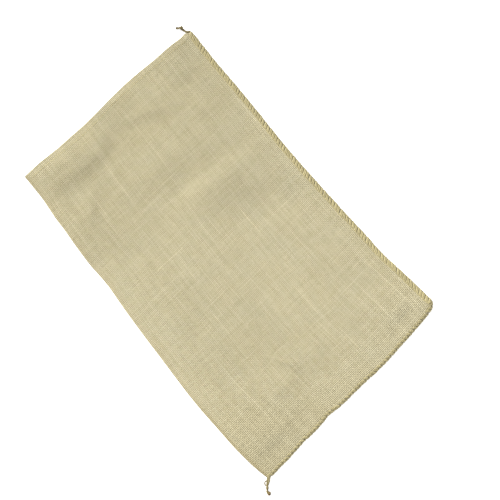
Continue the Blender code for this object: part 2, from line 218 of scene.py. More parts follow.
BOTTOM_TAIL = (
    RoutePoint(-0.2428, -0.4366, 0.0036),
    RoutePoint(-0.2452, -0.4390, 0.0032),
    RoutePoint(-0.2484, -0.4416, 0.0028),
    RoutePoint(-0.2527, -0.4452, 0.0025),
    RoutePoint(-0.2567, -0.4494, 0.0025),
    RoutePoint(-0.2595, -0.4534, 0.0025),
    RoutePoint(-0.2602, -0.4577, 0.0025),
    RoutePoint(-0.2578, -0.4611, 0.0025),
)

# ------------------------------------------------------------------ the overhead stitches, millimetres

# One stitch is four strands, each through its knots: the doubled yarn of the leg that wraps the edge, and
# the two loops that lock it. Share is how far in from the cloth's edge a knot lies, as a share of the seam's
# reach. Out is past the edge, on is along the seam towards the mouth, and up is the height.
KnotRow = namedtuple("KnotRow", "share out on up width thick")

LEG = (
    KnotRow(0.84, 0.0, -1.6, 3.3, 2.4, 1.5),
    KnotRow(0.84, 0.0, -0.8, 4.6, 3.4, 1.9),
    KnotRow(0.64, 0.0, 1.0, 5.1, 4.0, 2.1),
    KnotRow(0.36, 0.0, 3.4, 5.2, 4.2, 2.2),
    KnotRow(0.10, 0.0, 5.8, 4.7, 4.0, 2.1),
    KnotRow(0.00, 0.9, 7.2, 3.1, 3.7, 1.8),
    KnotRow(0.10, 0.0, 7.8, 0.95, 3.5, 1.5),
    KnotRow(0.45, 0.0, 8.5, 0.78, 3.4, 1.45),
    KnotRow(0.75, 0.0, 9.1, 0.85, 3.0, 1.4),
    KnotRow(0.83, 0.0, 9.3, 2.4, 2.2, 1.5),
)

CHAIN = (
    KnotRow(0.80, 0.0, -2.4, 4.3, 2.2, 1.4),
    KnotRow(0.92, 0.0, 0.0, 4.7, 3.0, 1.6),
    KnotRow(0.98, 0.0, 3.0, 4.8, 3.4, 1.7),
    KnotRow(0.95, 0.0, 6.2, 4.8, 3.4, 1.7),
    KnotRow(0.86, 0.0, 9.0, 4.7, 3.0, 1.6),
    KnotRow(0.70, 0.0, 11.0, 4.4, 2.0, 1.4),
)

PURL = (
    KnotRow(0.34, 0.0, -0.6, 4.3, 2.4, 1.6),
    KnotRow(0.14, 0.0, 1.6, 4.6, 3.6, 1.9),
    KnotRow(0.04, 0.4, 4.4, 4.3, 4.0, 2.2),
    KnotRow(0.00, 0.8, 7.6, 3.5, 3.6, 2.3),
    KnotRow(0.00, 0.6, 10.6, 2.7, 2.6, 2.0),
)

# On moves the whole strand along the seam, and tone is its brightness from 0 to 1. Shade share is how
# strongly it takes the bottom seam's painted shade, which darkens the strands that face the light; below 0
# it turns paler instead, as painted light on the outer strand that faces away from it.
StrandRow = namedtuple("StrandRow", "knots on tone worn")

STITCH_STRANDS = (
    StrandRow(LEG, on=0.0, tone=0.60, worn=0.6),
    StrandRow(LEG, on=-3.6, tone=0.50, worn=1.2),
    StrandRow(CHAIN, on=0.0, tone=0.48, worn=2.2),
    StrandRow(PURL, on=0.0, tone=0.42, worn=-2.0),
)
STRAND_STEPS = 3            # points to each stretch between two knots
STEEP = 0.35                # share of a strand's run that lies level, below which it counts as upright
ON_TOP = 2.0                # a knot higher than this lies on the front layer
FULL_REACH = 10.5           # a stitch that bites this deep has its full width
NARROW_SHARE = 0.72         # and the narrowest stitch this share of it

# How a seam lies: loft is a share of the height of the knots on top, over is how far the stitches stand past
# the edge, and painted shade is how far its strands' tone is darkened or lightened as painted shade and
# painted light.
SeamStyle = namedtuple("SeamStyle", "loft over browner")

SIDE_STYLE = SeamStyle(loft=1.0, over=0.0, browner=0.0)
BOTTOM_STYLE = SeamStyle(loft=0.82, over=0.9, browner=0.26)

# How far the sewing strays from stitch to stitch and from strand to strand.
STRAY_ALONG = 0.6           # a stitch, along the seam
STRAY_REACH = 0.8           # its bite
STRAY_PULL = (-0.25, 0.35)  # its knots on top, outwards
STRAY_STRAND = 0.5          # a strand, along the seam
STRAY_WIDTH = (0.86, 1.1)   # its width, as a share
STRAY_TONE = 0.14
STITCH_RELIEF = 0.10        # how deep the groove between a strand's two plies is
YARN_LAY = 0.0085           # metres in which a strand turns once
PLY_RELIEF = 0.26           # how deep a loose yarn's groove is
Wobble = namedtuple("Wobble", "pull on width")

SEAM_START = 1.0            # the first stitch, from the mouth
SEAM_STOP = 3.0             # the last stitch, from the fold
BOTTOM_EASE = 30.0          # over which the side seam's reach becomes the bottom's, past the corner
SIDE_STEP = 0.004           # steps of the seam's line, as shares of the side
BOTTOM_STEP = 0.006         # and of the bottom

# The seam yarns that come together as a loose yarn end: where each starts, as a share of the seam's reach
# and a height, and how far to the side it joins.
GatherRow = namedtuple("GatherRow", "share up side")

GATHERED = (
    GatherRow(share=0.75, up=4.4, side=-1.25),
    GatherRow(share=0.5, up=4.9, side=-0.5),
    GatherRow(share=0.25, up=4.6, side=0.25),
    GatherRow(share=-0.05, up=3.4, side=0.8),
)
GATHER_RUN = 9.0            # they start this far from the seam's end
GATHER_FADES = (0.9, 0.7, 0.4, 0.1)     # how they close up, point by point of the yarn end's route
GATHER_SPREAD = 2.3         # how far apart they join it
GATHER_WIDTH = 2.7
GATHER_MIDDLE = 0.55        # share of the way there
GATHER_LIFT = 0.5           # at which they lie this much higher
GATHER_END = 0.3            # each is this share of its width at its ends
GATHER_GROWTH = 4.0         # and has its full width after about a sixth of its length
GATHER_STEPS = 4
GATHER_SIDES = 8
GATHER_TONE = 0.15
GATHER_TONE_STRAY = 0.12

# ------------------------------------------------------------------ hem stitches and fibres, millimetres

HEM_LINE = 13.6             # the running stitches' distance from the mouth
HEM_LINE_STRAY = 0.1
HEM_LINE_START = 10.0       # from the fold
HEM_LINE_END = 24.0         # from the side seam
HEM_STITCH = (5.6, 7.2)     # length of a stitch
HEM_STITCH_GAP = (0.8, 1.8)
HEM_STITCH_STEPS = 8
HEM_STITCH_SUNK = 0.4       # its ends lie under the cloth
HEM_STITCH_RISE = 0.5       # and its middle this much higher
HEM_STITCH_ROUND = 0.6      # power of its rise: below 1 it is flat on top
HEM_STITCH_WIDTH = 0.8
HEM_STITCH_HEIGHT = 1.2
HEM_STITCH_SIDES = 6
HEM_STITCH_LAY = 0.005      # metres
HEM_STITCH_TONE = 0.75
HEM_STITCH_TONE_STRAY = 0.15
HEM_YARN_PALER = 1.35       # its yarn beside the seam's
# The hem yarn's painted groove shade is lighter than the seam's.
HEM_GROOVE_SHADE_PALER = 2.1

FIBRE_MARGIN = 26.0         # no loose fibre starts nearer the edges
FIBRE_BEND = 0.35           # how far it turns at each step, in radians
FIBRE_STRIDE = (0.9, 2.6)   # length of a step
FIBRE_RISE = (0.3, 1.3)     # its middle lies this much higher than its ends
FIBRE_SUNK = 0.15           # and its ends this deep in the cloth
FIBRE_ROUND = 0.7           # power of its rise
FIBRE_TAPER = (0.5, 0.9, 1.0, 1.0, 1.0, 0.8, 0.4)
FIBRE_SIDES = 4
FIBRE_LAY = 0.02            # metres
FIBRE_TONE = (0.3, 1.0)
FIBRE_SHADES = (1.05, 0.85) # its colour and its grooves' painted shade, as shares of the light yarn's

# ------------------------------------------------------------------ knot, loop and tuft, metres

TAIL_TURNS = 2.2            # how often a yarn end's two yarns wind round each other
TAIL_APART = 0.6            # how far off the middle each lies, as a share of the radius
TAIL_YARN = 1.36            # and how wide it is
TAIL_ROOT = 0.35            # share of that where it leaves the seam
TAIL_GROWTH = 0.12          # and how much it gains at each point
TAIL_OPEN = 1.9             # how much further apart they are where the yarn end is still open
TAIL_OPEN_LENGTH = 0.30     # the bottom one is open over this share of its length
TAIL_FLAT = 0.75            # how much lower than wide the pair lies
TAIL_STEPS = 8
TAIL_SIDES = 10
TAIL_LAY = 0.006
TAIL_TONES = (0.45, 0.55)
KNOT_AT = 6                 # number of the point of the mouth's yarn end that the knot sits on, from 0
KNOT_STEPS = 60
KNOT_LONG = 0.00125         # a third of half its length
KNOT_WIDE = 0.00115         # and of half its width
KNOT_RAISED = 0.0012        # its middle, above the yarn end's
KNOT_WAVE = 0.0016          # how far its yarn passes over and under itself
KNOT_YARN = 0.0036
KNOT_TONE = 0.4
LOOP_YARN = 0.0028
LOOP_STEPS = 6
LOOP_SIDES = 8
LOOP_LAY = 0.005
LOOP_TONE = 0.2
BOTTOM_LOOP = (             # millimetres
    (-245.8, -438.6, 3.0), (-248.2, -436.4, 3.0), (-251.4, -436.2, 2.6),
    (-254.0, -438.2, 2.2), (-254.9, -441.4, 1.9), (-253.0, -443.8, 2.2),
)
TUFT_HAIRS = 26
TUFT_ROOT = 0.0062          # the hairs start this far before the yarn's end
TUFT_HALF = 0.0020          # half the tuft's width there
TUFT_LEAN = 0.6             # how far the outer hairs point aside
TUFT_RISE = 0.002           # how far up a hair points at a tilt of 1
TUFT_TILT = (-0.3, 0.6)
TUFT_LENGTH = (0.0045, 0.0085)
TUFT_WIDTHS = (0.0013, 0.0014, 0.0013, 0.0010, 0.0004)
TUFT_SIDES = 6
TUFT_TONE = 0.4
TUFT_TONE_STRAY = 0.3
FRAYED_COLOUR = (0.30, 0.195, 0.082)
FRAYED_SHADE = (0.20, 0.12, 0.045)

# ------------------------------------------------------------------ studio, metres

FLOOR_HALF = 40.0
PAPER_SCALE = 240.0         # grain of the floor's paper, cells per metre
PAPER_SHADE = 0.985
PAPER_DEPTH = 0.0001
WHITE = (1.0, 1.0, 1.0, 1.0)
KEY_PLACE = (-0.33, 2.2, 0.95)
KEY_SPREAD = 40.0           # degrees
PANEL_PLACE = (-0.22, -0.5, 1.2)
PANEL_AIM = (-0.12, -0.35, 0.0)
PANEL_SIZE = (1.0, 0.8)
CAMERA_PLACE = (-0.1965, -0.3221, 1.687)
CAMERA_TILT = 12.0          # degrees from straight down
CAMERA_TURN = -39.62        # degrees
SENSOR = 36.0               # millimetres


# ------------------------------------------------------------------ settings a user would change

class ClothSettings(bpy.types.PropertyGroup):
    thickness: FloatProperty(
        name="Thickness", description="Thickness of one layer of cloth", default=0.0011, unit="LENGTH"
    )
    hem_depth: FloatProperty(
        name="Hem depth", description="How far the hem reaches down from the mouth",
        default=0.014, unit="LENGTH",
    )
    cell: FloatProperty(
        name="Cell", description="Size of the cloth's mesh cells where it is smooth",
        default=0.005, unit="LENGTH",
    )
    yarn_pitch: FloatProperty(
        name="Yarn pitch", description="Distance between neighbouring yarns of the weave",
        default=0.0033, unit="LENGTH",
    )
    light_colour: FloatVectorProperty(
        name="Light yarn", description="Colour of the palest yarns",
        size=3, subtype="COLOR", default=(0.614, 0.552, 0.362),
    )
    dark_colour: FloatVectorProperty(
        name="Dark yarn", description="Colour of the darkest yarns",
        size=3, subtype="COLOR", default=(0.485, 0.427, 0.257),
    )
    # Painted shade: the colour deep between the yarns stands in for the shade that falls there.
    gap_shade_colour: FloatVectorProperty(
        name="Gaps", description="Colour deep between the yarns",
        size=3, subtype="COLOR", default=(0.17, 0.135, 0.06),
    )
    stray_fibres: IntProperty(
        name="Stray fibres", description="Number of loose fibres on the front", default=420, min=1
    )
    fibre_width: FloatProperty(
        name="Fibre width", description="Thickness of a loose fibre", default=0.00034, unit="LENGTH"
    )


class SeamSettings(bpy.types.PropertyGroup):
    pitch: FloatProperty(
        name="Stitch pitch", description="Distance from one overhead stitch to the next",
        default=0.0092, unit="LENGTH",
    )
    side_reach: FloatProperty(
        name="Side reach", description="How far in from the edge the side seam bites",
        default=0.0105, unit="LENGTH",
    )
    bottom_reach: FloatProperty(
        name="Bottom reach", description="How far in from the edge the bottom seam bites",
        default=0.0106, unit="LENGTH",
    )
    end_reach: FloatProperty(
        name="End reach", description="How far in it bites where it ends at the fold",
        default=0.0082, unit="LENGTH",
    )
    sides: IntProperty(
        name="Sides", description="Sides of a strand's section", default=10, min=6, max=16
    )
    colour: FloatVectorProperty(
        name="Seam yarn", description="Colour of the seam yarn",
        size=3, subtype="COLOR", default=(0.425, 0.367, 0.188),
    )
    # Painted shade: the colour in the grooves between the plies stands in for the shade that falls there.
    groove_shade_colour: FloatVectorProperty(
        name="Grooves", description="Colour between the yarn's plies",
        size=3, subtype="COLOR", default=(0.26, 0.208, 0.092),
    )


class TailSettings(bpy.types.PropertyGroup):
    diameter: FloatProperty(
        name="Diameter", description="Two seam yarns laid together", default=0.0046, unit="LENGTH"
    )
    colour: FloatVectorProperty(
        name="Yarn ends", description="Colour of the loose yarn ends",
        size=3, subtype="COLOR", default=(0.205, 0.158, 0.060),
    )


class StageSettings(bpy.types.PropertyGroup):
    floor_colour: FloatVectorProperty(
        name="Floor", description="Colour of the floor",
        size=3, subtype="COLOR", default=(0.93, 0.93, 0.93),
    )
    floor_glow: FloatProperty(
        name="Floor glow", description="Light that the floor gives off, as a light table does",
        default=0.58, min=0.0,
    )
    key_strength: FloatProperty(
        name="Key light", description="Strength of the soft light from beyond the mouth",
        default=7.15, min=0.0,
    )
    panel_power: FloatProperty(
        name="Panel", description="Power of the panel above the sewn end, in watts", default=4.2, min=0.0
    )
    fill_strength: FloatProperty(
        name="Fill light", description="Strength of the light from all round", default=0.33, min=0.0
    )
    lens: FloatProperty(
        name="Lens", description="Focal length of the camera", default=57.6, min=10.0
    )


# ------------------------------------------------------------------ small helpers

def smooth(value):
    """Ease from 0 to 1 as value goes from 0 to 1, flat at both ends."""
    value = min(max(value, 0.0), 1.0)
    return value * value * (3.0 - 2.0 * value)


def mix(start, end, share):
    return start + (end - start) * share


def read_edge(rows, along):
    """Where an edge lies at one place along it, on a smooth curve through the table's rows."""
    last = len(rows) - 2
    index = 0
    while index < last and along > rows[index + 1].along:
        index += 1
    slopes = [
        (after.across - before.across) / (after.along - before.along)
        for before, after in zip(rows, rows[1:])
    ]
    here, there = rows[index], rows[index + 1]
    span = there.along - here.along
    entering = (slopes[max(index - 1, 0)] + slopes[index]) / 2
    leaving = (slopes[index] + slopes[min(index + 1, last)]) / 2
    share = min(max((along - here.along) / span, 0.0), 1.0)
    square, cube = share ** 2, share ** 3
    return (
        (2 * cube - 3 * square + 1) * here.across
        + (cube - 2 * square + share) * span * entering
        + (3 * square - 2 * cube) * there.across
        + (cube - square) * span * leaving
    )


def runs(*parts):
    """Places from the first start to the last end, each part (start, end, step) evenly divided."""
    places = [parts[0][0]]
    for start, end, step in parts:
        count = max(round((end - start) / step), 1)
        places += [mix(start, end, number / count) for number in range(1, count + 1)]
    return places


def smooth_line(points, steps):
    """Points along a smooth curve through the given ones, steps to each stretch."""
    fine = []
    for index in range(len(points) - 1):
        before = points[max(index - 1, 0)]
        start, end = points[index], points[index + 1]
        after = points[min(index + 2, len(points) - 1)]
        for step in range(steps):
            share = step / steps
            fine.append(
                start * (1.0 + share ** 2 * (2 * share - 3))
                + end * (share ** 2 * (3 - 2 * share))
                + (end - before) * 0.5 * (share * (1 - share) ** 2)
                + (after - start) * 0.5 * (share ** 2 * (share - 1))
            )
    fine.append(points[-1].copy())
    return fine


def stray(hand, most):
    """A chance amount to either side of zero."""
    return hand.uniform(-most, most)


def link_piece(name, mesh, finish):
    """Make a finished mesh a piece that rides on the sack."""
    piece = bpy.data.objects.new(name, mesh)
    bpy.context.scene.collection.objects.link(piece)
    mesh.materials.append(finish)
    mesh.shade_smooth()
    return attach(piece, "root")


# ------------------------------------------------------------------ where the cloth lies

def plan(across, along):
    """Plan position, from shares of the way across (fold to side seam) and along (bottom to mouth)."""
    x = mix(FOLD_EDGE[0].across, SIDE_EDGE[0].across, across)
    for _ in range(2):
        y = mix(read_edge(BOTTOM_EDGE, x), read_edge(MOUTH_EDGE, x), along)
        x = mix(read_edge(FOLD_EDGE, y) - FOLD_PROUD, read_edge(SIDE_EDGE, y), across)
    return round_corner(x, y)


def round_corner(x, y):
    """Round the sewn bottom corner: its square is drawn in to a quarter circle."""
    side, bottom = read_edge(SIDE_EDGE, y), read_edge(BOTTOM_EDGE, x)
    out_x = 1.0 - (side - x) / CORNER_ROUND
    out_y = 1.0 - (y - bottom) / CORNER_ROUND
    if out_x <= 0.0 or out_y <= 0.0:
        return x, y
    drawn_x = out_x * math.sqrt(1.0 - min(out_y, 1.0) ** 2 / 2)
    drawn_y = out_y * math.sqrt(1.0 - min(out_x, 1.0) ** 2 / 2)
    return (
        side - CORNER_ROUND * (1.0 - drawn_x),
        bottom + CORNER_ROUND * (1.0 - drawn_y),
    )


def from_sewn(across, along, side_rise, bottom_rise):
    """0 on the flat strip along the sewn edges, 1 beyond both rises, blended round the corner."""
    side = ((1.0 - across) * WIDTH - SEWN_FLAT) / side_rise
    bottom = (along * LENGTH - SEWN_FLAT) / bottom_rise
    short_side = 1.0 - min(max(side, 0.0), 1.0)
    short_bottom = 1.0 - min(max(bottom, 0.0), 1.0)
    return smooth(1.0 - math.hypot(short_side, short_bottom))


def back_underside(across, along):
    """Height of the back layer's underside: on the surface, but raised into the seam's middle."""
    return SEWN_UNDERSIDE * (1.0 - from_sewn(across, along, BACK_RISE, BACK_RISE))


def front_top(across, along):
    """Height of the front layer's top, before its folds."""
    at_fold = mix(SEWN_TOP, FOLD_HEIGHT, from_sewn(across, along, BACK_RISE, BACK_RISE))
    crown = mix(CROWN_LOW, CROWN_HIGH, along)
    at_crown = mix(SEWN_TOP, crown, from_sewn(across, along, SIDE_RISE, BOTTOM_RISE))
    from_fold = across * WIDTH
    return mix(at_fold, at_crown, math.sin(math.pi / 2 * min(from_fold / SIDE_RISE, 1.0)))


def lie_of_front(x, y, across, along):
    """How far folds, creases and unevenness lift the front layer at one place."""
    total = 0.0
    for fold in FOLDS:
        heading = math.radians(fold.heading)
        ahead = (x - fold.x) * math.cos(heading) + (y - fold.y) * math.sin(heading)
        if abs(ahead) > fold.length / 2:
            continue
        aside = (y - fold.y) * math.cos(heading) - (x - fold.x) * math.sin(heading)
        aside /= fold.left if aside > 0.0 else fold.right
        if abs(aside) > FOLD_SPREADS:
            continue
        taper = 1.0 - smooth(abs(ahead) / (fold.length / 2))
        profile = mix(math.exp(-aside * aside), math.exp(-CREASE_FALL * abs(aside)), fold.crisp)
        total += fold.height * taper * profile
    for row in UNEVENNESS:
        total += row.height * noise.noise(Vector((x / row.size, y / row.size, row.seed)))
    fade = from_sewn(across, along, LIE_SIDE_RISE, LIE_BOTTOM_RISE) * smooth(across * WIDTH / LIE_FOLD_RISE)
    return total * fade * mix(LIE_AT_MOUTH, 1.0, smooth((1.0 - along) * LENGTH / LIE_MOUTH_RUN))


def hem_relief(from_mouth, across):
    """The doubled hem rises to its inner fold, and the cloth is drawn down along its stitches."""
    if from_mouth > HEM_RELIEF_END:
        return 0.0
    strength = mix(HEM_BY_FOLD, 1.0, smooth(across * 1.6 - 0.4))
    proud = HEM_PROUD * (min(from_mouth, HEM_CREST) / HEM_CREST) ** HEM_SWELL
    proud = proud * (1.0 - smooth((from_mouth - HEM_CREST) / HEM_FALL))
    groove = HEM_GROOVE * math.exp(-(((from_mouth - HEM_GROOVE_AT) / HEM_GROOVE_WIDE) ** 2))
    return strength * (proud - groove)


def cloth_surface(section, along_run):
    """The cloth's outside, and the direction inwards, at one place of the flat cloth in millimetres.

    section is 0 at the front's fold, WIDTH at its sewn edge, and negative round the fold and on the back.
    """
    along = along_run / LENGTH
    if section >= 0.0:
        across = section / WIDTH
    elif section > -NOSE_RUN:
        across = 0.0
    else:
        across = (-section - NOSE_RUN) / WIDTH
    x, y = plan(across, along)
    low = back_underside(across, along)
    radius = (front_top(0.0, along) - back_underside(0.0, along)) / 2
    x += radius * (1.0 - across)
    if section <= -NOSE_RUN:
        return Vector((x, y, low)), Vector((0.0, 0.0, 1.0))
    if section < 0.0:
        angle = math.pi * (1.0 + section / NOSE_RUN)
        inward = Vector((math.sin(angle), 0.0, math.cos(angle)))
        centre = Vector((x, y, low + radius))
        return centre - inward * radius, inward
    height = front_top(across, along) + lie_of_front(x, y, across, along)
    height += hem_relief(LENGTH - along_run, across) * smooth(section / HEM_FADE)
    height += SEAM_PULL * (1.0 - math.exp(-min(along_run, WIDTH - section) / SEAM_PULL_RUN))
    y -= read_edge(FRONT_BACKSET, x) * smooth((along_run - BACKSET_START) / (LENGTH - BACKSET_START))
    return Vector((x, y, height)), Vector((0.0, 0.0, -1.0))


def cloth_place(section, run):
    """Place of the flat cloth, run past LENGTH being the hem turned in under the mouth's edge."""
    turn = math.pi * HEM_TURN
    if run <= LENGTH:
        return cloth_surface(section, run)[0]
    past = run - LENGTH
    if past < turn:
        angle = past / HEM_TURN
        point, inward = cloth_surface(section, LENGTH)
        forward = Vector((0.0, HEM_TURN * math.sin(angle), 0.0))
        return point + forward + inward * HEM_TURN * (1.0 - math.cos(angle))
    point, inward = cloth_surface(section, LENGTH - (past - turn))
    return point + inward * 2 * HEM_TURN


def by_puckers(place):
    """Whether a place of the flat cloth is under the two small puckers above the bottom."""
    left, right = PUCKER_ACROSS
    low, high = PUCKER_ALONG
    return left < place.x < right and low < place.y < high


def cloth_sections(cell):
    """Places across the flat cloth, from the back layer's sewn edge round the fold to the front layer's."""
    back_end = -NOSE_RUN - WIDTH
    return runs(
        (back_end, back_end + 45, 4.5),             # back layer, by the seam
        (back_end + 45, -NOSE_RUN - 40, 14.0),      # its flat middle
        (-NOSE_RUN - 40, -NOSE_RUN, 8.0),           # towards the fold
        (-NOSE_RUN, 0.0, 1.0),                      # round the fold
        (0.0, 40.0, 4.0),                           # front layer, by the fold
        (40.0, WIDTH - 56, cell),                   # its middle
        (WIDTH - 56, WIDTH, 4.0),                   # by the seam
    )


def cloth_rows(cell, hem):
    """Places along the flat cloth, from its bottom edge to the end of the hem that is turned in."""
    turned = LENGTH + math.pi * HEM_TURN
    return runs(
        (0.0, 42.0, 3.5),                           # by the bottom seam
        (42.0, LENGTH - 32, cell),                  # the middle
        (LENGTH - 32, LENGTH - 18, 3.5),            # below the hem
        (LENGTH - 18, LENGTH, 1.2),                 # the hem's outside
        (LENGTH, turned, 0.6),                      # round the mouth's edge
        (turned, turned + hem - HEM_TURN, 4.5),     # the hem's inside
    )


# ------------------------------------------------------------------ the weave's values

# Scales are noise cells per metre. A range is from where to where a noise, or a place in metres, counts.
DRIFT_SCALE = 13.0          # the yarns' slow wander
DRIFT = 0.006
SHAKE_SCALE = 150.0         # and their quick unevenness
SHAKE = 0.0016
YARN_STRIDE = 7.31          # keeps the noises of neighbouring yarns apart
THICK_SCALE = 42.0
TONE_SCALE = 9.0
SLUB_SCALE = 4.0
SLUB_RANGE = (0.66, 0.80)
TONE_APART = 5.0            # keeps a yarn's own noises apart
SLUB_APART = 9.0
THICK_RANGE = (0.3, 0.72)
GAP_WIDTHS = (0.42, 0.02)   # the gap beside a thin and a thick stretch, as shares of half a yarn
TONE_RANGE = (0.28, 0.74)
SLUB_SHADOW = 0.4           # how much of a slub shows where the other yarn crosses over it
SLUB_PALE = 1.10
WARP_PLACE = 1.5            # where each set of yarns reads its noises
WEFT_PLACE = 31.5
WEFT_STRENGTH = 0.68        # how uneven the weft is beside the warp
CROSSING = 0.6              # how far a yarn rises and sinks at the crossings
CROSSING_EDGE = 0.06        # how softly one yarn passes under the other
GAP_RANGE = (0.15, 1.0)     # heights over which the gaps' painted shade gives way to the yarn
FIBRE_FINE = 5200.0         # fibres across a yarn
FIBRE_LONG = 420.0          # and along it
FIBRE_CONTRAST = (0.86, 1.12)
FIBRE_RELIEF = 0.25         # as a share of a yarn's height
NOISE_BAND = (0.3, 0.7)     # where most of a noise lies
BLOTCH_SCALE = 7.0
BLOTCH_CONTRAST = (0.98, 1.02)
HUE_SCALE = 16.0
HUE_RANGE = (0.35, 0.75)
HUE_SHARE = 0.35
HUE_TINT = (0.97, 1.01, 1.08, 1.0)
MOUTH_SHADE_RANGE = (0.42, 0.74)            # painted shade, darker and yellower along the cloth towards the mouth
MOUTH_SHADE_TINT = (0.975, 0.97, 0.945, 1.0)
DARK_CORNER_ALONG = (0.05, 0.36)             # darker by the folded bottom corner
DARK_CORNER_ACROSS = (0.04, 0.34)
DARK_CORNER_TINT = (0.95, 0.945, 0.925, 1.0)
RIM_RANGE = (0.004, 0.016)              # beside the fold
RIM_WANDER = 0.012
RIM_LOW_END = (0.06, 0.30)              # the rim is strongest below this
RIM_ABOVE = 0.45
RIM_WEAR_AND_SHADE_TINT = (0.84, 0.80, 0.72, 1.0)
BARK_SCALE = 15.0
BARK_CHANCE = (0.55, 1.0)
BARK_SIZE = 0.028
BARK_SHARE = 0.75
BARK_COLOUR = (0.16, 0.095, 0.04, 1.0)
WEAVE_DEPTH = 0.0007
STRAND_FIBRES = 26.0        # noise cells to one turn round a strand
STRAND_STREAKS = 260.0      # and to a metre along it
STRAND_STREAK_TONE = (-0.16, 0.18)
STRAND_RELIEF = 0.5
PATCH_SCALE = 90.0
PATCH_TONE = (-0.10, 0.10)
YARN_SHADES = (0.8, 1.18)   # the darkest and palest yarn, as shares of its colour
YARN_RANGE = (0.1, 0.95)
GROOVE_POWER = 0.8
GROOVE_SHADE_RANGE = (-0.15, 0.5)
YARN_DEPTH = 0.0004
SHEEN_ROUGHNESS = 0.6
DULL_SPECULAR = 0.2

# ------------------------------------------------------------------ node materials

class NodeBoard:
    """A material's nodes, added one call at a time. A value may be a number, a tuple or a socket."""

    def __init__(self, name):
        self.material = bpy.data.materials.new(name)
        self.material.use_nodes = True
        self.tree = self.material.node_tree
        self.shader = self.tree.nodes["Principled BSDF"]

    def feed(self, socket, value):
        if isinstance(value, bpy.types.NodeSocket):
            self.tree.links.new(value, socket)
        elif value is not None:
            socket.default_value = value

    def node(self, kind, values=(), **settings):
        made = self.tree.nodes.new(kind)
        for key, value in settings.items():
            setattr(made, key, value)
        for key, value in dict(values).items():
            self.feed(made.inputs[key], value)
        return made

    def math(self, operation, first, second=None, third=None):
        made = self.node("ShaderNodeMath", operation=operation)
        for socket, value in zip(made.inputs, (first, second, third)):
            self.feed(socket, value)
        return made.outputs[0]

    def vector(self, x, y, z=0.0):
        return self.node("ShaderNodeCombineXYZ", {"X": x, "Y": y, "Z": z}).outputs[0]

    def noise(self, place, scale, detail=2.0, roughness=0.5, output=0):
        """A noise around 0.5; output 1 has a separate one for each axis."""
        values = {"Vector": place, "Scale": scale, "Detail": detail, "Roughness": roughness}
        return self.node("ShaderNodeTexNoise", values).outputs[output]

    def shift(self, place, scale, detail, by):
        """A vector that strays from zero with the place, by being the length of one noise unit."""
        stray_by = self.noise(place, scale, detail, output=1)
        middle = {0: stray_by, 1: (0.5, 0.5, 0.5)}
        centred = self.node("ShaderNodeVectorMath", middle, operation="SUBTRACT").outputs[0]
        return self.node("ShaderNodeVectorMath", {0: centred, 3: by}, operation="SCALE").outputs[0]

    def add(self, first, second):
        return self.node("ShaderNodeVectorMath", {0: first, 1: second}, operation="ADD").outputs[0]

    def choose(self, share, first, second):
        """The first value at 0 and the second at 1."""
        return self.node("ShaderNodeMix", {0: share, 2: first, 3: second}).outputs[0]

    def ramp(self, value, low, high, to_low=0.0, to_high=1.0):
        """Move value from the range low..high to another one, eased and held at its ends."""
        values = {"Value": value, "From Min": low, "From Max": high, "To Min": to_low, "To Max": to_high}
        made = self.node("ShaderNodeMapRange", values, interpolation_type="SMOOTHSTEP")
        return made.outputs[0]

    def blend(self, share, first, second, way="MIX"):
        made = self.node("ShaderNodeMix", data_type="RGBA", blend_type=way)
        for index, value in ((0, share), (6, first), (7, second)):
            self.feed(made.inputs[index], value)
        return made.outputs[2]

    def tint(self, share, colour, factor):
        """Multiply a colour by a factor, by a share of the way."""
        return self.blend(share, colour, self.blend(1.0, colour, factor, "MULTIPLY"))

    def contrast(self, colour, value, low, high):
        """Multiply a colour by a grey that goes with a noise."""
        grey = self.ramp(value, *NOISE_BAND, low, high)
        return self.blend(1.0, colour, self.vector(grey, grey, grey), "MULTIPLY")

    def finish(self, colour, height, depth, roughness, sheen):
        """Put colour and bump on the shader; numbers that are the same all over sit on its own sockets."""
        self.feed(self.shader.inputs["Base Color"], colour)
        self.feed(self.shader.inputs["Roughness"], roughness)
        self.shader.inputs["Sheen Weight"].default_value = sheen
        self.shader.inputs["Sheen Roughness"].default_value = SHEEN_ROUGHNESS
        self.shader.inputs["Specular IOR Level"].default_value = DULL_SPECULAR
        bump = self.node("ShaderNodeBump", {"Height": height, "Distance": depth, "Strength": 1.0})
        self.feed(self.shader.inputs["Normal"], bump.outputs[0])
        return self.material


def solid(colour, share=1.0):
    return (colour[0] * share, colour[1] * share, colour[2] * share, 1.0)


def weave_yarn(board, place, number, run, strength):
    """One set of yarns: how thick each is along its run, its tone around 0.5, and where it is a slub."""
    own = board.math("MULTIPLY", number, YARN_STRIDE)

    def noise_along(scale, at, detail):
        return board.noise(board.vector(own, board.math("MULTIPLY", run, scale), at), 1.0, detail)

    thick = noise_along(THICK_SCALE, place, 2.0)
    tone = noise_along(TONE_SCALE, place + TONE_APART, 3.0)
    tone = board.math("MULTIPLY_ADD", board.math("SUBTRACT", tone, 0.5), strength, 0.5)
    slub = board.ramp(noise_along(SLUB_SCALE, place + SLUB_APART, 1.0), *SLUB_RANGE, 0.0, strength)
    return thick, tone, slub


def yarn_height(board, wave, thick, other, sign):
    """Height of one set of yarns: round between its gaps, over and under the other set."""
    gap = board.ramp(thick, *THICK_RANGE, *GAP_WIDTHS)
    profile = board.math("POWER", board.ramp(board.math("ABSOLUTE", wave), gap, 1.0), 0.5)
    side = board.math("MULTIPLY", board.math("SIGN", wave), sign * CROSSING)
    return board.math("MULTIPLY", profile, board.math("MULTIPLY_ADD", side, other, 1.0))


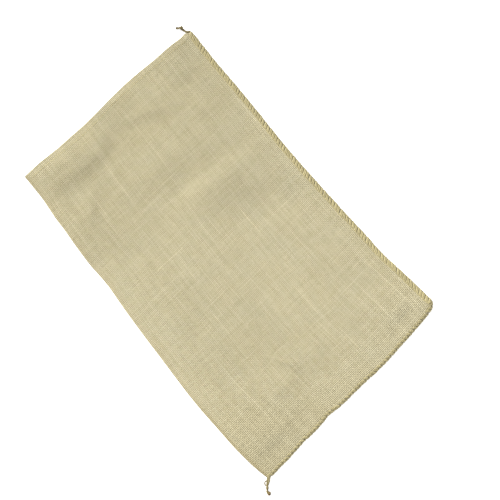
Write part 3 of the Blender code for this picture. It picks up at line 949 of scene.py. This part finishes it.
def worn_and_shaded_colour(board, grain, across, along, colour):
    """Soft blotches, cooler patches, painted shade at the mouth end, a darker folded corner and a brown rim
    at the fold, partly wear and partly painted shade.
    """
    from_fold = board.math("ABSOLUTE", across)
    blotch = board.noise(grain, BLOTCH_SCALE, 3.0, 0.55)
    colour = board.contrast(colour, blotch, *BLOTCH_CONTRAST)
    hue = board.noise(grain, HUE_SCALE, 2.0)
    colour = board.tint(board.ramp(hue, *HUE_RANGE, 0.0, HUE_SHARE), colour, HUE_TINT)
    # Painted shade: the cloth is tinted darker and yellower towards the mouth.
    colour = board.tint(board.ramp(along, *MOUTH_SHADE_RANGE), colour, MOUTH_SHADE_TINT)
    # The cloth is tinted darker by the folded bottom corner.
    low = board.ramp(along, *DARK_CORNER_ALONG, 1.0, 0.0)
    near = board.ramp(from_fold, *DARK_CORNER_ACROSS, 1.0, 0.0)
    colour = board.tint(board.math("MULTIPLY", low, near), colour, DARK_CORNER_TINT)
    # A brown rim beside the fold, partly wear and partly painted shade that darkens the fold's edge.
    rim = board.math("ADD", from_fold, board.math("MULTIPLY", blotch, RIM_WANDER))
    rim = board.ramp(rim, *RIM_RANGE, 1.0, 0.0)
    low_end = board.ramp(along, *RIM_LOW_END, 1.0, RIM_ABOVE)
    return board.tint(board.math("MULTIPLY", rim, low_end), colour, RIM_WEAR_AND_SHADE_TINT)


def bark_specks(board, place, colour):
    """A few dark specks of bark, most cells having none."""
    values = {"Vector": place, "Scale": BARK_SCALE, "Randomness": 1.0}
    specks = board.node("ShaderNodeTexVoronoi", values, feature="F1")
    chance = board.node("ShaderNodeSeparateColor", {0: specks.outputs["Color"]})
    size = board.ramp(chance.outputs[0], *BARK_CHANCE, 0.0, BARK_SIZE)
    speck = board.math("LESS_THAN", specks.outputs["Distance"], size)
    return board.blend(board.math("MULTIPLY", speck, BARK_SHARE), colour, BARK_COLOUR)


def cloth_finish(settings):
    """Plain-woven jute: uneven yarns over and under each other, paler slubs, painted shade in the gaps and
    bark specks.
    """
    board = NodeBoard("woven_jute")
    grain = board.node("ShaderNodeUVMap", uv_map="grain").outputs[0]
    place = board.add(grain, board.shift(grain, DRIFT_SCALE, 2.0, DRIFT))
    place = board.add(place, board.shift(grain, SHAKE_SCALE, 1.0, SHAKE))
    axes = board.node("ShaderNodeSeparateXYZ", {0: place}).outputs
    across, along, _ = board.node("ShaderNodeSeparateXYZ", {0: grain}).outputs
    warp_count = board.math("DIVIDE", axes[0], settings.yarn_pitch)
    weft_count = board.math("DIVIDE", axes[1], settings.yarn_pitch)
    warp_wave = board.math("SINE", board.math("MULTIPLY", warp_count, math.pi))
    weft_wave = board.math("SINE", board.math("MULTIPLY", weft_count, math.pi))
    warp_number = board.math("FLOOR", warp_count)
    weft_number = board.math("FLOOR", weft_count)
    warp_thick, warp_tone, warp_slub = weave_yarn(board, WARP_PLACE, warp_number, along, 1.0)
    weft_thick, weft_tone, weft_slub = weave_yarn(board, WEFT_PLACE, weft_number, across, WEFT_STRENGTH)
    warp_height = yarn_height(board, warp_wave, warp_thick, weft_wave, 1.0)
    weft_height = yarn_height(board, weft_wave, weft_thick, warp_wave, -1.0)
    above = board.math("SUBTRACT", warp_height, weft_height)
    warp_on_top = board.ramp(above, -CROSSING_EDGE, CROSSING_EDGE)
    height = board.math("MAXIMUM", warp_height, weft_height)

    shade = board.ramp(board.choose(warp_on_top, weft_tone, warp_tone), *TONE_RANGE)
    colour = board.blend(shade, solid(settings.dark_colour), solid(settings.light_colour))
    crossed = board.math("MULTIPLY", board.math("MAXIMUM", weft_slub, warp_slub), SLUB_SHADOW)
    slub = board.math("MAXIMUM", board.choose(warp_on_top, weft_slub, warp_slub), crossed)
    colour = board.blend(slub, colour, solid(settings.light_colour, SLUB_PALE))

    # Fibres run along whichever yarn lies on top.
    warp_cells = board.vector(
        board.math("MULTIPLY", axes[0], FIBRE_FINE), board.math("MULTIPLY", along, FIBRE_LONG)
    )
    weft_cells = board.vector(
        board.math("MULTIPLY", across, FIBRE_LONG), board.math("MULTIPLY", axes[1], FIBRE_FINE)
    )
    fibre = board.choose(warp_on_top, board.noise(weft_cells, 1.0, 2.0), board.noise(warp_cells, 1.0, 2.0))
    colour = board.contrast(colour, fibre, *FIBRE_CONTRAST)
    # Painted shade in the gaps between the yarns, where the weave is low.
    colour = board.blend(board.ramp(height, *GAP_RANGE), solid(settings.gap_shade_colour), colour)
    colour = worn_and_shaded_colour(board, grain, across, along, colour)
    colour = bark_specks(board, place, colour)
    relief = board.math("MULTIPLY_ADD", fibre, FIBRE_RELIEF, height)
    return board.finish(colour, relief, WEAVE_DEPTH, roughness=0.95, sheen=0.12)


def yarn_finish(name, colour, groove_shade_colour):
    """Twisted jute yarn: plies with painted shade in the grooves between them, fibres along the lay and
    uneven tone.
    """
    board = NodeBoard(name)
    lay = board.node("ShaderNodeUVMap", uv_map="lay").outputs[0]
    around, along, _ = board.node("ShaderNodeSeparateXYZ", {0: lay}).outputs
    tone = board.node("ShaderNodeAttribute", attribute_name="tone").outputs[2]
    twist = board.math("COSINE", board.math("MULTIPLY", around, 2 * math.pi))
    groove = board.math("POWER", board.math("ABSOLUTE", twist), GROOVE_POWER)
    turned = board.math("MULTIPLY", around, STRAND_FIBRES)
    streaked = board.math("MULTIPLY", along, STRAND_STREAKS)
    fibre = board.noise(board.vector(turned, streaked, tone), 1.0, 3.0)
    place = board.node("ShaderNodeTexCoord").outputs["Object"]
    patch = board.noise(place, PATCH_SCALE, 2.0)
    bright = board.math("ADD", board.ramp(fibre, *NOISE_BAND, *STRAND_STREAK_TONE), tone)
    bright = board.math("ADD", bright, board.ramp(patch, *NOISE_BAND, *PATCH_TONE))
    darkest, palest = (solid(colour, share) for share in YARN_SHADES)
    body = board.blend(board.ramp(bright, *YARN_RANGE), darkest, palest)
    # Painted shade in the grooves between the plies.
    shade = board.blend(board.ramp(groove, *GROOVE_SHADE_RANGE), solid(groove_shade_colour), body)
    relief = board.math("MULTIPLY_ADD", fibre, STRAND_RELIEF, groove)
    return board.finish(shade, relief, YARN_DEPTH, roughness=0.85, sheen=0.15)


# ------------------------------------------------------------------ strands of yarn

RailPoint = namedtuple("RailPoint", "place aside up width height")


class StrandMesh:
    """Collects twisted strands in one bmesh, with their lay as a UV map and their tone as an attribute."""

    def __init__(self):
        self.shape = bmesh.new()
        self.lay = self.shape.loops.layers.uv.new("lay")
        self.tone = self.shape.verts.layers.float.new("tone")

    def add(self, rail, sides, tone, lay_length=YARN_LAY, relief=PLY_RELIEF, start_turn=0.0):
        """One strand along a rail of RailPoints: a two-ply section that turns as it goes."""
        steps = len(rail) - 1
        runs_at = [0.0]
        for before, after in zip(rail, rail[1:]):
            runs_at.append(runs_at[-1] + (after.place - before.place).length)
        made = bmesh.ops.create_grid(self.shape, x_segments=sides, y_segments=steps, size=0.5)
        faces = {face for vertex in made["verts"] for face in vertex.link_faces}
        for face in faces:
            for loop in face.loops:
                station = round((loop.vert.co.y + 0.5) * steps)
                turns = runs_at[station] / lay_length
                around = loop.vert.co.x + 0.5 + turns + start_turn / (2 * math.pi)
                loop[self.lay].uv = (around, runs_at[station])
        for vertex in made["verts"]:
            around = (vertex.co.x + 0.5) * 2 * math.pi
            station = round((vertex.co.y + 0.5) * steps)
            point = rail[station]
            turn = start_turn + 2 * math.pi * runs_at[station] / lay_length
            swell = 1.0 - relief * math.sin(around + turn) ** 2
            out = point.aside * (math.cos(around) * point.width / 2)
            out = out + point.up * (math.sin(around) * point.height / 2)
            vertex.co = point.place + out * swell
            vertex[self.tone] = tone

    def finish(self, name, material):
        """Merge the strands' own seams, close their ends, turn the faces outwards and make a piece."""
        bmesh.ops.remove_doubles(self.shape, verts=self.shape.verts[:], dist=1e-7)
        open_edges = [edge for edge in self.shape.edges if edge.is_boundary]
        bmesh.ops.holes_fill(self.shape, edges=open_edges, sides=0)
        bmesh.ops.recalc_face_normals(self.shape, faces=self.shape.faces[:])
        mesh = bpy.data.meshes.new(name)
        self.shape.to_mesh(mesh)
        self.shape.free()
        return link_piece(name, mesh, material)


def free_rail(points, widths):
    """A rail along points with nothing to lie on, its section carried along without turning."""
    rail = []
    aside = Vector((0.0, 0.0, 1.0))
    for index, (point, width) in enumerate(zip(points, widths)):
        before, after = points[max(index - 1, 0)], points[min(index + 1, len(points) - 1)]
        ahead = (after - before).normalized()
        aside = aside - ahead * aside.dot(ahead)
        if aside.length < 0.1:
            aside = ahead.orthogonal()
        aside = aside.normalized()
        rail.append(RailPoint(point, aside, ahead.cross(aside), width, width))
    return rail


# ------------------------------------------------------------------ the seam's line

class SeamLine:
    """The cloth's sewn edge from the mouth down the side, round the corner and along to the fold."""

    def __init__(self):
        down = [plan(1.0, 1.0 - share) for share in runs((0.0, 1.0, SIDE_STEP))]
        over = [plan(1.0 - share, 0.0) for share in runs((0.0, 1.0, BOTTOM_STEP))[1:]]
        self.points = [Vector((x, y, 0.0)) for x, y in down + over]
        self.at = [0.0]
        for before, after in zip(self.points, self.points[1:]):
            self.at.append(self.at[-1] + (after - before).length)
        self.length = self.at[-1]
        self.side_length = self.at[len(down) - 1]

    def place(self, run):
        """(point, direction along, direction outwards) at a distance from the mouth."""
        low, high = 0, len(self.at) - 2
        while low < high:
            middle = (low + high + 1) // 2
            if self.at[middle] <= run:
                low = middle
            else:
                high = middle - 1
        before, after = self.points[low], self.points[low + 1]
        share = (run - self.at[low]) / (self.at[low + 1] - self.at[low])
        point = before + (after - before) * share
        wide_before = self.points[max(low - 1, 0)]
        wide_after = self.points[min(low + 2, len(self.points) - 1)]
        ahead = (wide_after - wide_before).normalized()
        return point, ahead, Vector((-ahead.y, ahead.x, 0.0))


def stitch_rail(line, hole, reach, row, wobble, style):
    """The rail of one strand of the stitch whose needle hole is at a distance along the seam."""
    knots, sizes = [], []
    for knot in row.knots:
        shift = style.over + (wobble.pull if knot.up > ON_TOP else 0.0)
        up = knot.up * (style.loft if knot.up > ON_TOP else 1.0)
        width = knot.width * wobble.width * mix(NARROW_SHARE, 1.0, reach / FULL_REACH)
        knots.append(Vector((-reach * knot.share + knot.out + shift, knot.on + row.on + wobble.on, up)))
        sizes.append(Vector((width, knot.thick, 0.0)))
    placed = []
    for point in smooth_line(knots, STRAND_STEPS):
        place, ahead, outward = line.place(min(max(hole - point.y, 0.0), line.length))
        placed.append((place + outward * point.x + Vector((0.0, 0.0, point.z)), ahead))
    rail = []
    for index, (size, (point, ahead)) in enumerate(zip(smooth_line(sizes, STRAND_STEPS), placed)):
        before, after = placed[max(index - 1, 0)][0], placed[min(index + 1, len(placed) - 1)][0]
        run = (after - before).normalized()
        aside = Vector((-run.y, run.x, 0.0))
        if aside.length < STEEP:
            aside = ahead - run * run.dot(ahead)
        aside = aside.normalized()
        if rail and aside.dot(rail[-1].aside) < 0.0:
            aside = -aside
        rail.append(RailPoint(point * MM, aside, run.cross(aside), size.x * MM, size.y * MM))
    return rail


def sew(line, start, end, reach_at, settings, style, seed):
    """Overhead stitches between two distances along the seam, as one mesh of strands."""
    hand = random.Random(seed)
    strands = StrandMesh()
    count = round((end - start) / (settings.pitch / MM))
    for number in range(count):
        hole = mix(start, end, (number + 0.5) / count) + stray(hand, STRAY_ALONG)
        reach = reach_at(hole) + stray(hand, STRAY_REACH)
        pull = hand.uniform(*STRAY_PULL)
        for row in STITCH_STRANDS:
            wobble = Wobble(pull, on=stray(hand, STRAY_STRAND), width=hand.uniform(*STRAY_WIDTH))
            rail = stitch_rail(line, hole, reach, row, wobble, style)
            # Painted shade and painted light: the bottom seam's tone is shifted by how each strand faces the
            # light.
            tone = row.tone - style.browner * row.worn + stray(hand, STRAY_TONE)
            turn = hand.uniform(0.0, math.pi)
            strands.add(rail, settings.sides, tone, relief=STITCH_RELIEF, start_turn=turn)
    return strands


def gather(strands, line, run, reach, route, hand):
    """Seam yarns that run on from under the last stitches and come together as a loose yarn end."""
    point, _, outward = line.place(run)
    ends = [Vector(place) for place in route[:6]]
    ahead = (ends[3] - ends[0]).normalized()
    aside = Vector((-ahead.y, ahead.x, 0.0)).normalized()
    if aside.dot(outward) < 0.0:
        aside = -aside
    lift = Vector((0.0, 0.0, GATHER_LIFT * MM))
    for row in GATHERED:
        start = (point - outward * reach * row.share + Vector((0.0, 0.0, row.up))) * MM
        spread = aside * row.side * GATHER_SPREAD * MM
        way = [start, start.lerp(ends[0] + spread, GATHER_MIDDLE) + lift, ends[0] + spread]
        way += [ends[step] + spread * fade for step, fade in enumerate(GATHER_FADES, 1)]
        points = smooth_line(way, GATHER_STEPS)
        last = len(points) - 1
        from_end = [min(step, last - step) for step in range(last + 1)]
        tapers = [min(1.0, GATHER_END + GATHER_GROWTH * step / last) for step in from_end]
        widths = [GATHER_WIDTH * MM * taper for taper in tapers]
        tone = GATHER_TONE + stray(hand, GATHER_TONE_STRAY)
        turn = hand.uniform(0.0, math.pi)
        strands.add(free_rail(points, widths), GATHER_SIDES, tone, start_turn=turn)


# ------------------------------------------------------------------ operators

def hang_lamp(context, lamp, place, aim):
    """Put a lamp at a place, turned towards another."""
    light = bpy.data.objects.new(lamp.name, lamp)
    light.location = place
    light.rotation_euler = (Vector(aim) - light.location).to_track_quat("-Z", "Y").to_euler()
    context.scene.collection.objects.link(light)


class JUTE_SACK_OT_stage(bpy.types.Operator):
    """Pale floor, soft studio light and the camera above the sack"""

    bl_idname = "jute_sack.stage"
    bl_label = "Stage"

    def execute(self, context):
        settings = context.scene.jute_stage
        self.lay_floor(context, settings)
        self.light(context, settings)
        self.set_camera(context, settings)
        return {"FINISHED"}

    def lay_floor(self, context, settings):
        """A wide floor of pale paper that gives off a little light of its own."""
        shape = bmesh.new()
        bmesh.ops.create_grid(shape, x_segments=1, y_segments=1, size=FLOOR_HALF)
        mesh = bpy.data.meshes.new("studio_floor")
        shape.to_mesh(mesh)
        shape.free()
        floor = bpy.data.objects.new("studio_floor", mesh)
        context.scene.collection.objects.link(floor)
        board = NodeBoard("studio_paper")
        place = board.node("ShaderNodeTexCoord").outputs["Object"]
        grain = board.noise(place, PAPER_SCALE, 2.0)
        shaded = solid(settings.floor_colour, PAPER_SHADE)
        colour = board.blend(grain, shaded, solid(settings.floor_colour))
        board.shader.inputs["Emission Color"].default_value = WHITE
        board.shader.inputs["Emission Strength"].default_value = settings.floor_glow
        mesh.materials.append(board.finish(colour, grain, PAPER_DEPTH, roughness=0.9, sheen=0.0))

    def light(self, context, settings):
        """The key comes from beyond the mouth; the panel evens out the sewn end."""
        world = bpy.data.worlds.new("studio_air")
        world.use_nodes = True
        background = world.node_tree.nodes["Background"]
        background.inputs["Color"].default_value = WHITE
        background.inputs["Strength"].default_value = settings.fill_strength
        context.scene.world = world
        key = bpy.data.lights.new("soft_key", "SUN")
        key.energy = settings.key_strength
        key.angle = math.radians(KEY_SPREAD)
        hang_lamp(context, key, KEY_PLACE, (0.0, 0.0, 0.0))
        panel = bpy.data.lights.new("soft_panel", "AREA")
        panel.shape = "RECTANGLE"
        panel.size, panel.size_y = PANEL_SIZE
        panel.energy = settings.panel_power
        hang_lamp(context, panel, PANEL_PLACE, PANEL_AIM)

    def set_camera(self, context, settings):
        """The camera looks down on the sack, nearly straight, and turned so that the sack lies slantwise."""
        eye = bpy.data.cameras.new("camera")
        eye.sensor_width = SENSOR
        eye.lens = settings.lens
        camera = bpy.data.objects.new("camera", eye)
        camera.location = CAMERA_PLACE
        camera.rotation_euler = (math.radians(CAMERA_TILT), 0.0, math.radians(CAMERA_TURN))
        context.scene.collection.objects.link(camera)
        context.scene.camera = camera
        context.scene.view_settings.view_transform = "Standard"


class JUTE_SACK_OT_cloth(bpy.types.Operator):
    """The folded cloth with its turned hem, creases and open mouth"""

    bl_idname = "jute_sack.cloth"
    bl_label = "Cloth"

    def execute(self, context):
        settings = context.scene.jute_cloth
        cell = settings.cell / MM
        hem = settings.hem_depth / MM
        sections, rows = cloth_sections(cell), cloth_rows(cell, hem)
        shape = bmesh.new()
        columns, lines = len(sections) - 1, len(rows) - 1
        bmesh.ops.create_grid(shape, x_segments=columns, y_segments=lines, size=0.5)
        for vertex in shape.verts:
            column = round((vertex.co.x + 0.5) * columns)
            line = round((vertex.co.y + 0.5) * lines)
            vertex.co = (sections[column], rows[line], 0.0)

        # The turned hem stops short of the sewn edges, where the stitches hold it.
        cut = [
            face
            for face in shape.faces
            if face.calc_center_median().y > LENGTH
            and not sections[0] + HEM_STOP < face.calc_center_median().x < WIDTH - HEM_STOP
        ]
        bmesh.ops.delete(shape, geom=cut, context="FACES")

        # Finer cells under the two small puckers above the bottom.
        fine = [edge for edge in shape.edges if all(by_puckers(vertex.co) for vertex in edge.verts)]
        bmesh.ops.subdivide_edges(shape, edges=fine, cuts=1, use_grid_fill=True)

        grain = shape.loops.layers.uv.new("grain")
        for face in shape.faces:
            for loop in face.loops:
                loop[grain].uv = (loop.vert.co.x * MM, loop.vert.co.y * MM)
        for vertex in shape.verts:
            vertex.co = cloth_place(vertex.co.x, vertex.co.y) * MM
        mesh = bpy.data.meshes.new("jute_cloth_sheet")
        shape.to_mesh(mesh)
        shape.free()
        piece = link_piece("jute_cloth_sheet", mesh, cloth_finish(settings))
        solidify = piece.modifiers.new("Thickness", "SOLIDIFY")
        solidify.thickness = settings.thickness
        solidify.offset = -1.0
        solidify.use_even_offset = True
        solidify.use_quality_normals = True
        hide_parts("sack_cloth")
        return {"FINISHED"}


class JUTE_SACK_OT_seams(bpy.types.Operator):
    """Overhead stitches down the side and along the bottom"""

    bl_idname = "jute_sack.seams"
    bl_label = "Seams"

    def execute(self, context):
        settings = context.scene.jute_seam
        line = SeamLine()
        side, bottom, end = (
            reach / MM for reach in (settings.side_reach, settings.bottom_reach, settings.end_reach)
        )
        corner = line.side_length

        def reach_at(run):
            """The side's bite, then the bottom's, which narrows towards the fold."""
            if run < corner:
                return side
            past = run - corner
            narrowed = mix(bottom, end, past / (line.length - corner))
            return mix(side, narrowed, smooth(past / BOTTOM_EASE))

        yarn = yarn_finish("seam_yarn", settings.colour, settings.groove_shade_colour)
        hand = random.Random(17)
        down = sew(line, SEAM_START, corner, reach_at, settings, SIDE_STYLE, seed=5)
        gather(down, line, GATHER_RUN, side, MOUTH_TAIL, hand)
        down = down.finish("side_stitches", yarn)
        over = sew(line, corner, line.length - SEAM_STOP, reach_at, settings, BOTTOM_STYLE, seed=8)
        gather(over, line, line.length - GATHER_RUN, end, BOTTOM_TAIL, hand)
        over = over.finish("bottom_stitches", yarn)
        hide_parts("edge_seam")
        return {"FINISHED"}


class JUTE_SACK_OT_hem_stitches(bpy.types.Operator):
    """The running stitches that hold the mouth's hem"""

    bl_idname = "jute_sack.hem_stitches"
    bl_label = "Hem stitches"

    def execute(self, context):
        hand = random.Random(21)
        strands = StrandMesh()
        seam = context.scene.jute_seam
        place = HEM_LINE_START
        while place < WIDTH - HEM_LINE_END:
            long = hand.uniform(*HEM_STITCH)
            points = []
            for step in range(HEM_STITCH_STEPS + 1):
                share = step / HEM_STITCH_STEPS
                run = LENGTH - HEM_LINE + stray(hand, HEM_LINE_STRAY)
                point = cloth_place(place + long * share, run)
                point.z += -HEM_STITCH_SUNK + HEM_STITCH_RISE * math.sin(math.pi * share) ** HEM_STITCH_ROUND
                points.append(point * MM)
            rail = free_rail(points, [HEM_STITCH_WIDTH * MM] * len(points))
            rail = [item._replace(height=HEM_STITCH_HEIGHT * MM) for item in rail]
            tone = HEM_STITCH_TONE + stray(hand, HEM_STITCH_TONE_STRAY)
            strands.add(rail, HEM_STITCH_SIDES, tone, lay_length=HEM_STITCH_LAY)
            place += long + hand.uniform(*HEM_STITCH_GAP)
        colour, groove = Vector(seam.colour), Vector(seam.groove_shade_colour)
        yarn = yarn_finish("hem_yarn", colour * HEM_YARN_PALER, groove * HEM_GROOVE_SHADE_PALER)
        piece = strands.finish("hem_stitches", yarn)
        return {"FINISHED"}


class JUTE_SACK_OT_stray_fibres(bpy.types.Operator):
    """Single fibres that have worked loose and lie on the front"""

    bl_idname = "jute_sack.stray_fibres"
    bl_label = "Stray fibres"

    def execute(self, context):
        settings = context.scene.jute_cloth
        hand = random.Random(53)
        strands = StrandMesh()
        widths = [share * settings.fibre_width for share in FIBRE_TAPER]
        last = len(widths) - 1
        for _ in range(settings.stray_fibres):
            section = hand.uniform(FIBRE_MARGIN, WIDTH - FIBRE_MARGIN)
            run = hand.uniform(FIBRE_MARGIN, LENGTH - FIBRE_MARGIN)
            heading = hand.uniform(0.0, 2 * math.pi)
            bend = stray(hand, FIBRE_BEND)
            stride = hand.uniform(*FIBRE_STRIDE)
            rise = hand.uniform(*FIBRE_RISE)
            points = []
            for step in range(last + 1):
                point = cloth_place(section, run)
                point.z += -FIBRE_SUNK + rise * math.sin(math.pi * step / last) ** FIBRE_ROUND
                points.append(point * MM)
                section += stride * math.cos(heading)
                run += stride * math.sin(heading)
                heading += bend
            tone = hand.uniform(*FIBRE_TONE)
            strands.add(free_rail(points, widths), FIBRE_SIDES, tone, lay_length=FIBRE_LAY, relief=0.0)
        colour, groove = (Vector(settings.light_colour) * share for share in FIBRE_SHADES)
        yarn = yarn_finish("loose_fibre", colour, groove)
        piece = strands.finish("stray_fibres", yarn)
        return {"FINISHED"}


def helix_points(path, offset, phase, open_start):
    """Points of one yarn that winds round a path, standing further off it over its first stretch."""
    points = []
    count = len(path) - 1
    up = Vector((0.0, 0.0, 1.0))
    for index, point in enumerate(path):
        before, after = path[max(index - 1, 0)], path[min(index + 1, count)]
        ahead = (after - before).normalized()
        aside = ahead.cross(up).normalized()
        share = index / count
        angle = phase + 2 * math.pi * TAIL_TURNS * max(share - open_start, 0.0)
        closed = smooth(share / open_start) if open_start else 1.0
        spread = offset * mix(TAIL_OPEN, 1.0, closed)
        points.append(point + aside * math.cos(angle) * spread + up * math.sin(angle) * offset * TAIL_FLAT)
    return points


class JUTE_SACK_OT_yarn_ends(bpy.types.Operator):
    """The two loose yarn ends, with the knot, the loop and the cut tuft on them"""

    bl_idname = "jute_sack.yarn_ends"
    bl_label = "Yarn ends"

    def execute(self, context):
        settings = context.scene.jute_tail
        yarn = yarn_finish("tail_yarn", settings.colour, context.scene.jute_seam.groove_shade_colour)
        half = settings.diameter / 2
        for name, route, node, open_start, far_end in (
            ("mouth_yarn_end", MOUTH_TAIL, "mouth_tail", 0.0, "knot"),
            ("bottom_yarn_end", BOTTOM_TAIL, "bottom_tail", TAIL_OPEN_LENGTH, "bare"),
        ):
            path = smooth_line([Vector(point) for point in route], TAIL_STEPS)
            tapers = [min(1.0, TAIL_ROOT + TAIL_GROWTH * step) for step in range(len(path))]
            widths = [half * TAIL_YARN * taper for taper in tapers]
            strands = StrandMesh()
            for phase, tone in zip((0.0, math.pi), TAIL_TONES):
                points = helix_points(path, half * TAIL_APART, phase, open_start)
                strands.add(free_rail(points, widths), TAIL_SIDES, tone, lay_length=TAIL_LAY)
            piece = strands.finish(name, yarn)
            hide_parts(node)
            extras = self.knot(yarn) if node == "mouth_tail" else self.loop_and_tuft(yarn)
        return {"FINISHED"}

    def knot(self, yarn):
        """A lumpy overhand knot in the mouth's yarn end."""
        centre = Vector(MOUTH_TAIL[KNOT_AT])
        points = []
        for step in range(KNOT_STEPS + 1):
            turn = 2 * math.pi * step / KNOT_STEPS
            points.append(centre + Vector((
                KNOT_LONG * (math.sin(turn) + 2 * math.sin(2 * turn)),
                KNOT_WIDE * (math.cos(turn) - 2 * math.cos(2 * turn)),
                KNOT_RAISED - KNOT_WAVE * math.sin(3 * turn),
            )))
        strands = StrandMesh()
        rail = free_rail(points, [KNOT_YARN] * len(points))
        strands.add(rail, TAIL_SIDES, KNOT_TONE, lay_length=TAIL_LAY)
        piece = strands.finish("mouth_yarn_knot", yarn)
        return [piece]

    def loop_and_tuft(self, yarn):
        """A small loop beside the bottom yarn end and the frayed tuft where it was cut."""
        strands = StrandMesh()
        loop = smooth_line([Vector(point) * MM for point in BOTTOM_LOOP], LOOP_STEPS)
        rail = free_rail(loop, [LOOP_YARN] * len(loop))
        strands.add(rail, LOOP_SIDES, LOOP_TONE, lay_length=LOOP_LAY)
        bow = strands.finish("bottom_yarn_loop", yarn)
        hand = random.Random(41)
        strands = StrandMesh()
        start = Vector(BOTTOM_TAIL[-1])
        ahead = (start - Vector(BOTTOM_TAIL[-2])).normalized()
        aside = Vector((-ahead.y, ahead.x, 0.0))
        last = len(TUFT_WIDTHS) - 1
        for _ in range(TUFT_HAIRS):
            lean = stray(hand, 1.0)
            rise = hand.uniform(*TUFT_TILT)
            long = hand.uniform(*TUFT_LENGTH)
            root = start - ahead * TUFT_ROOT + aside * lean * TUFT_HALF
            way = (ahead + aside * lean * TUFT_LEAN).normalized()
            shares = [step / last for step in range(last + 1)]
            points = [
                root + way * long * share + Vector((0.0, 0.0, rise * TUFT_RISE * share)) for share in shares
            ]
            tone = TUFT_TONE + stray(hand, TUFT_TONE_STRAY)
            strands.add(free_rail(points, TUFT_WIDTHS), TUFT_SIDES, tone, lay_length=TAIL_LAY)
        tuft = strands.finish("bottom_yarn_tuft", yarn_finish("frayed_yarn", FRAYED_COLOUR, FRAYED_SHADE))
        return [bow, tuft]


class JUTE_SACK_OT_declare(bpy.types.Operator):
    """Does nothing: neither the cloth's cut nor what is sewn to it is declared here"""

    bl_idname = "jute_sack.declare"
    bl_label = "Declare the sheet"

    def execute(self, context):
        return {"FINISHED"}


class JUTE_SACK_PT_panel(bpy.types.Panel):
    bl_label = "Jute Sack"
    bl_idname = "JUTE_SACK_PT_panel"
    bl_space_type = "VIEW_3D"
    bl_region_type = "UI"
    bl_category = "Jute Sack"

    def draw(self, context):
        for title, group, names, operators in (
            ("Stage", context.scene.jute_stage,
             ("floor_colour", "floor_glow", "key_strength", "panel_power", "fill_strength", "lens"),
             ("jute_sack.stage",)),
            ("Cloth", context.scene.jute_cloth,
             ("thickness", "hem_depth", "cell", "yarn_pitch", "light_colour", "dark_colour", "gap_shade_colour",
              "stray_fibres", "fibre_width"),
             ("jute_sack.cloth", "jute_sack.stray_fibres", "jute_sack.declare")),
            ("Seams", context.scene.jute_seam,
             ("pitch", "side_reach", "bottom_reach", "end_reach", "sides", "colour", "groove_shade_colour"),
             ("jute_sack.seams", "jute_sack.hem_stitches")),
            ("Yarn ends", context.scene.jute_tail, ("diameter", "colour"), ("jute_sack.yarn_ends",)),
        ):
            box = self.layout.box()
            box.label(text=title)
            for name in names:
                box.prop(group, name)
            for operator in operators:
                box.operator(operator)


GROUPS = (
    ("jute_cloth", ClothSettings),
    ("jute_seam", SeamSettings),
    ("jute_tail", TailSettings),
    ("jute_stage", StageSettings),
)
CLASSES = (
    JUTE_SACK_OT_stage,
    JUTE_SACK_OT_yarn_ends,
    JUTE_SACK_OT_cloth,
    JUTE_SACK_OT_seams,
    JUTE_SACK_OT_hem_stitches,
    JUTE_SACK_OT_stray_fibres,
    JUTE_SACK_OT_declare,
    JUTE_SACK_PT_panel,
)


def register():
    for name, group in GROUPS:
        bpy.utils.register_class(group)
        setattr(bpy.types.Scene, name, PointerProperty(type=group))
    for item in CLASSES:
        bpy.utils.register_class(item)


def unregister():
    for item in reversed(CLASSES):
        bpy.utils.unregister_class(item)
    for name, group in reversed(GROUPS):
        delattr(bpy.types.Scene, name)
        bpy.utils.unregister_class(group)


def main():
    register()
    bpy.ops.jute_sack.stage()
    bpy.ops.jute_sack.yarn_ends()
    bpy.ops.jute_sack.cloth()
    bpy.ops.jute_sack.seams()
    bpy.ops.jute_sack.hem_stitches()
    bpy.ops.jute_sack.stray_fibres()
    bpy.ops.jute_sack.declare()


if __name__ == "__main__":
    main()
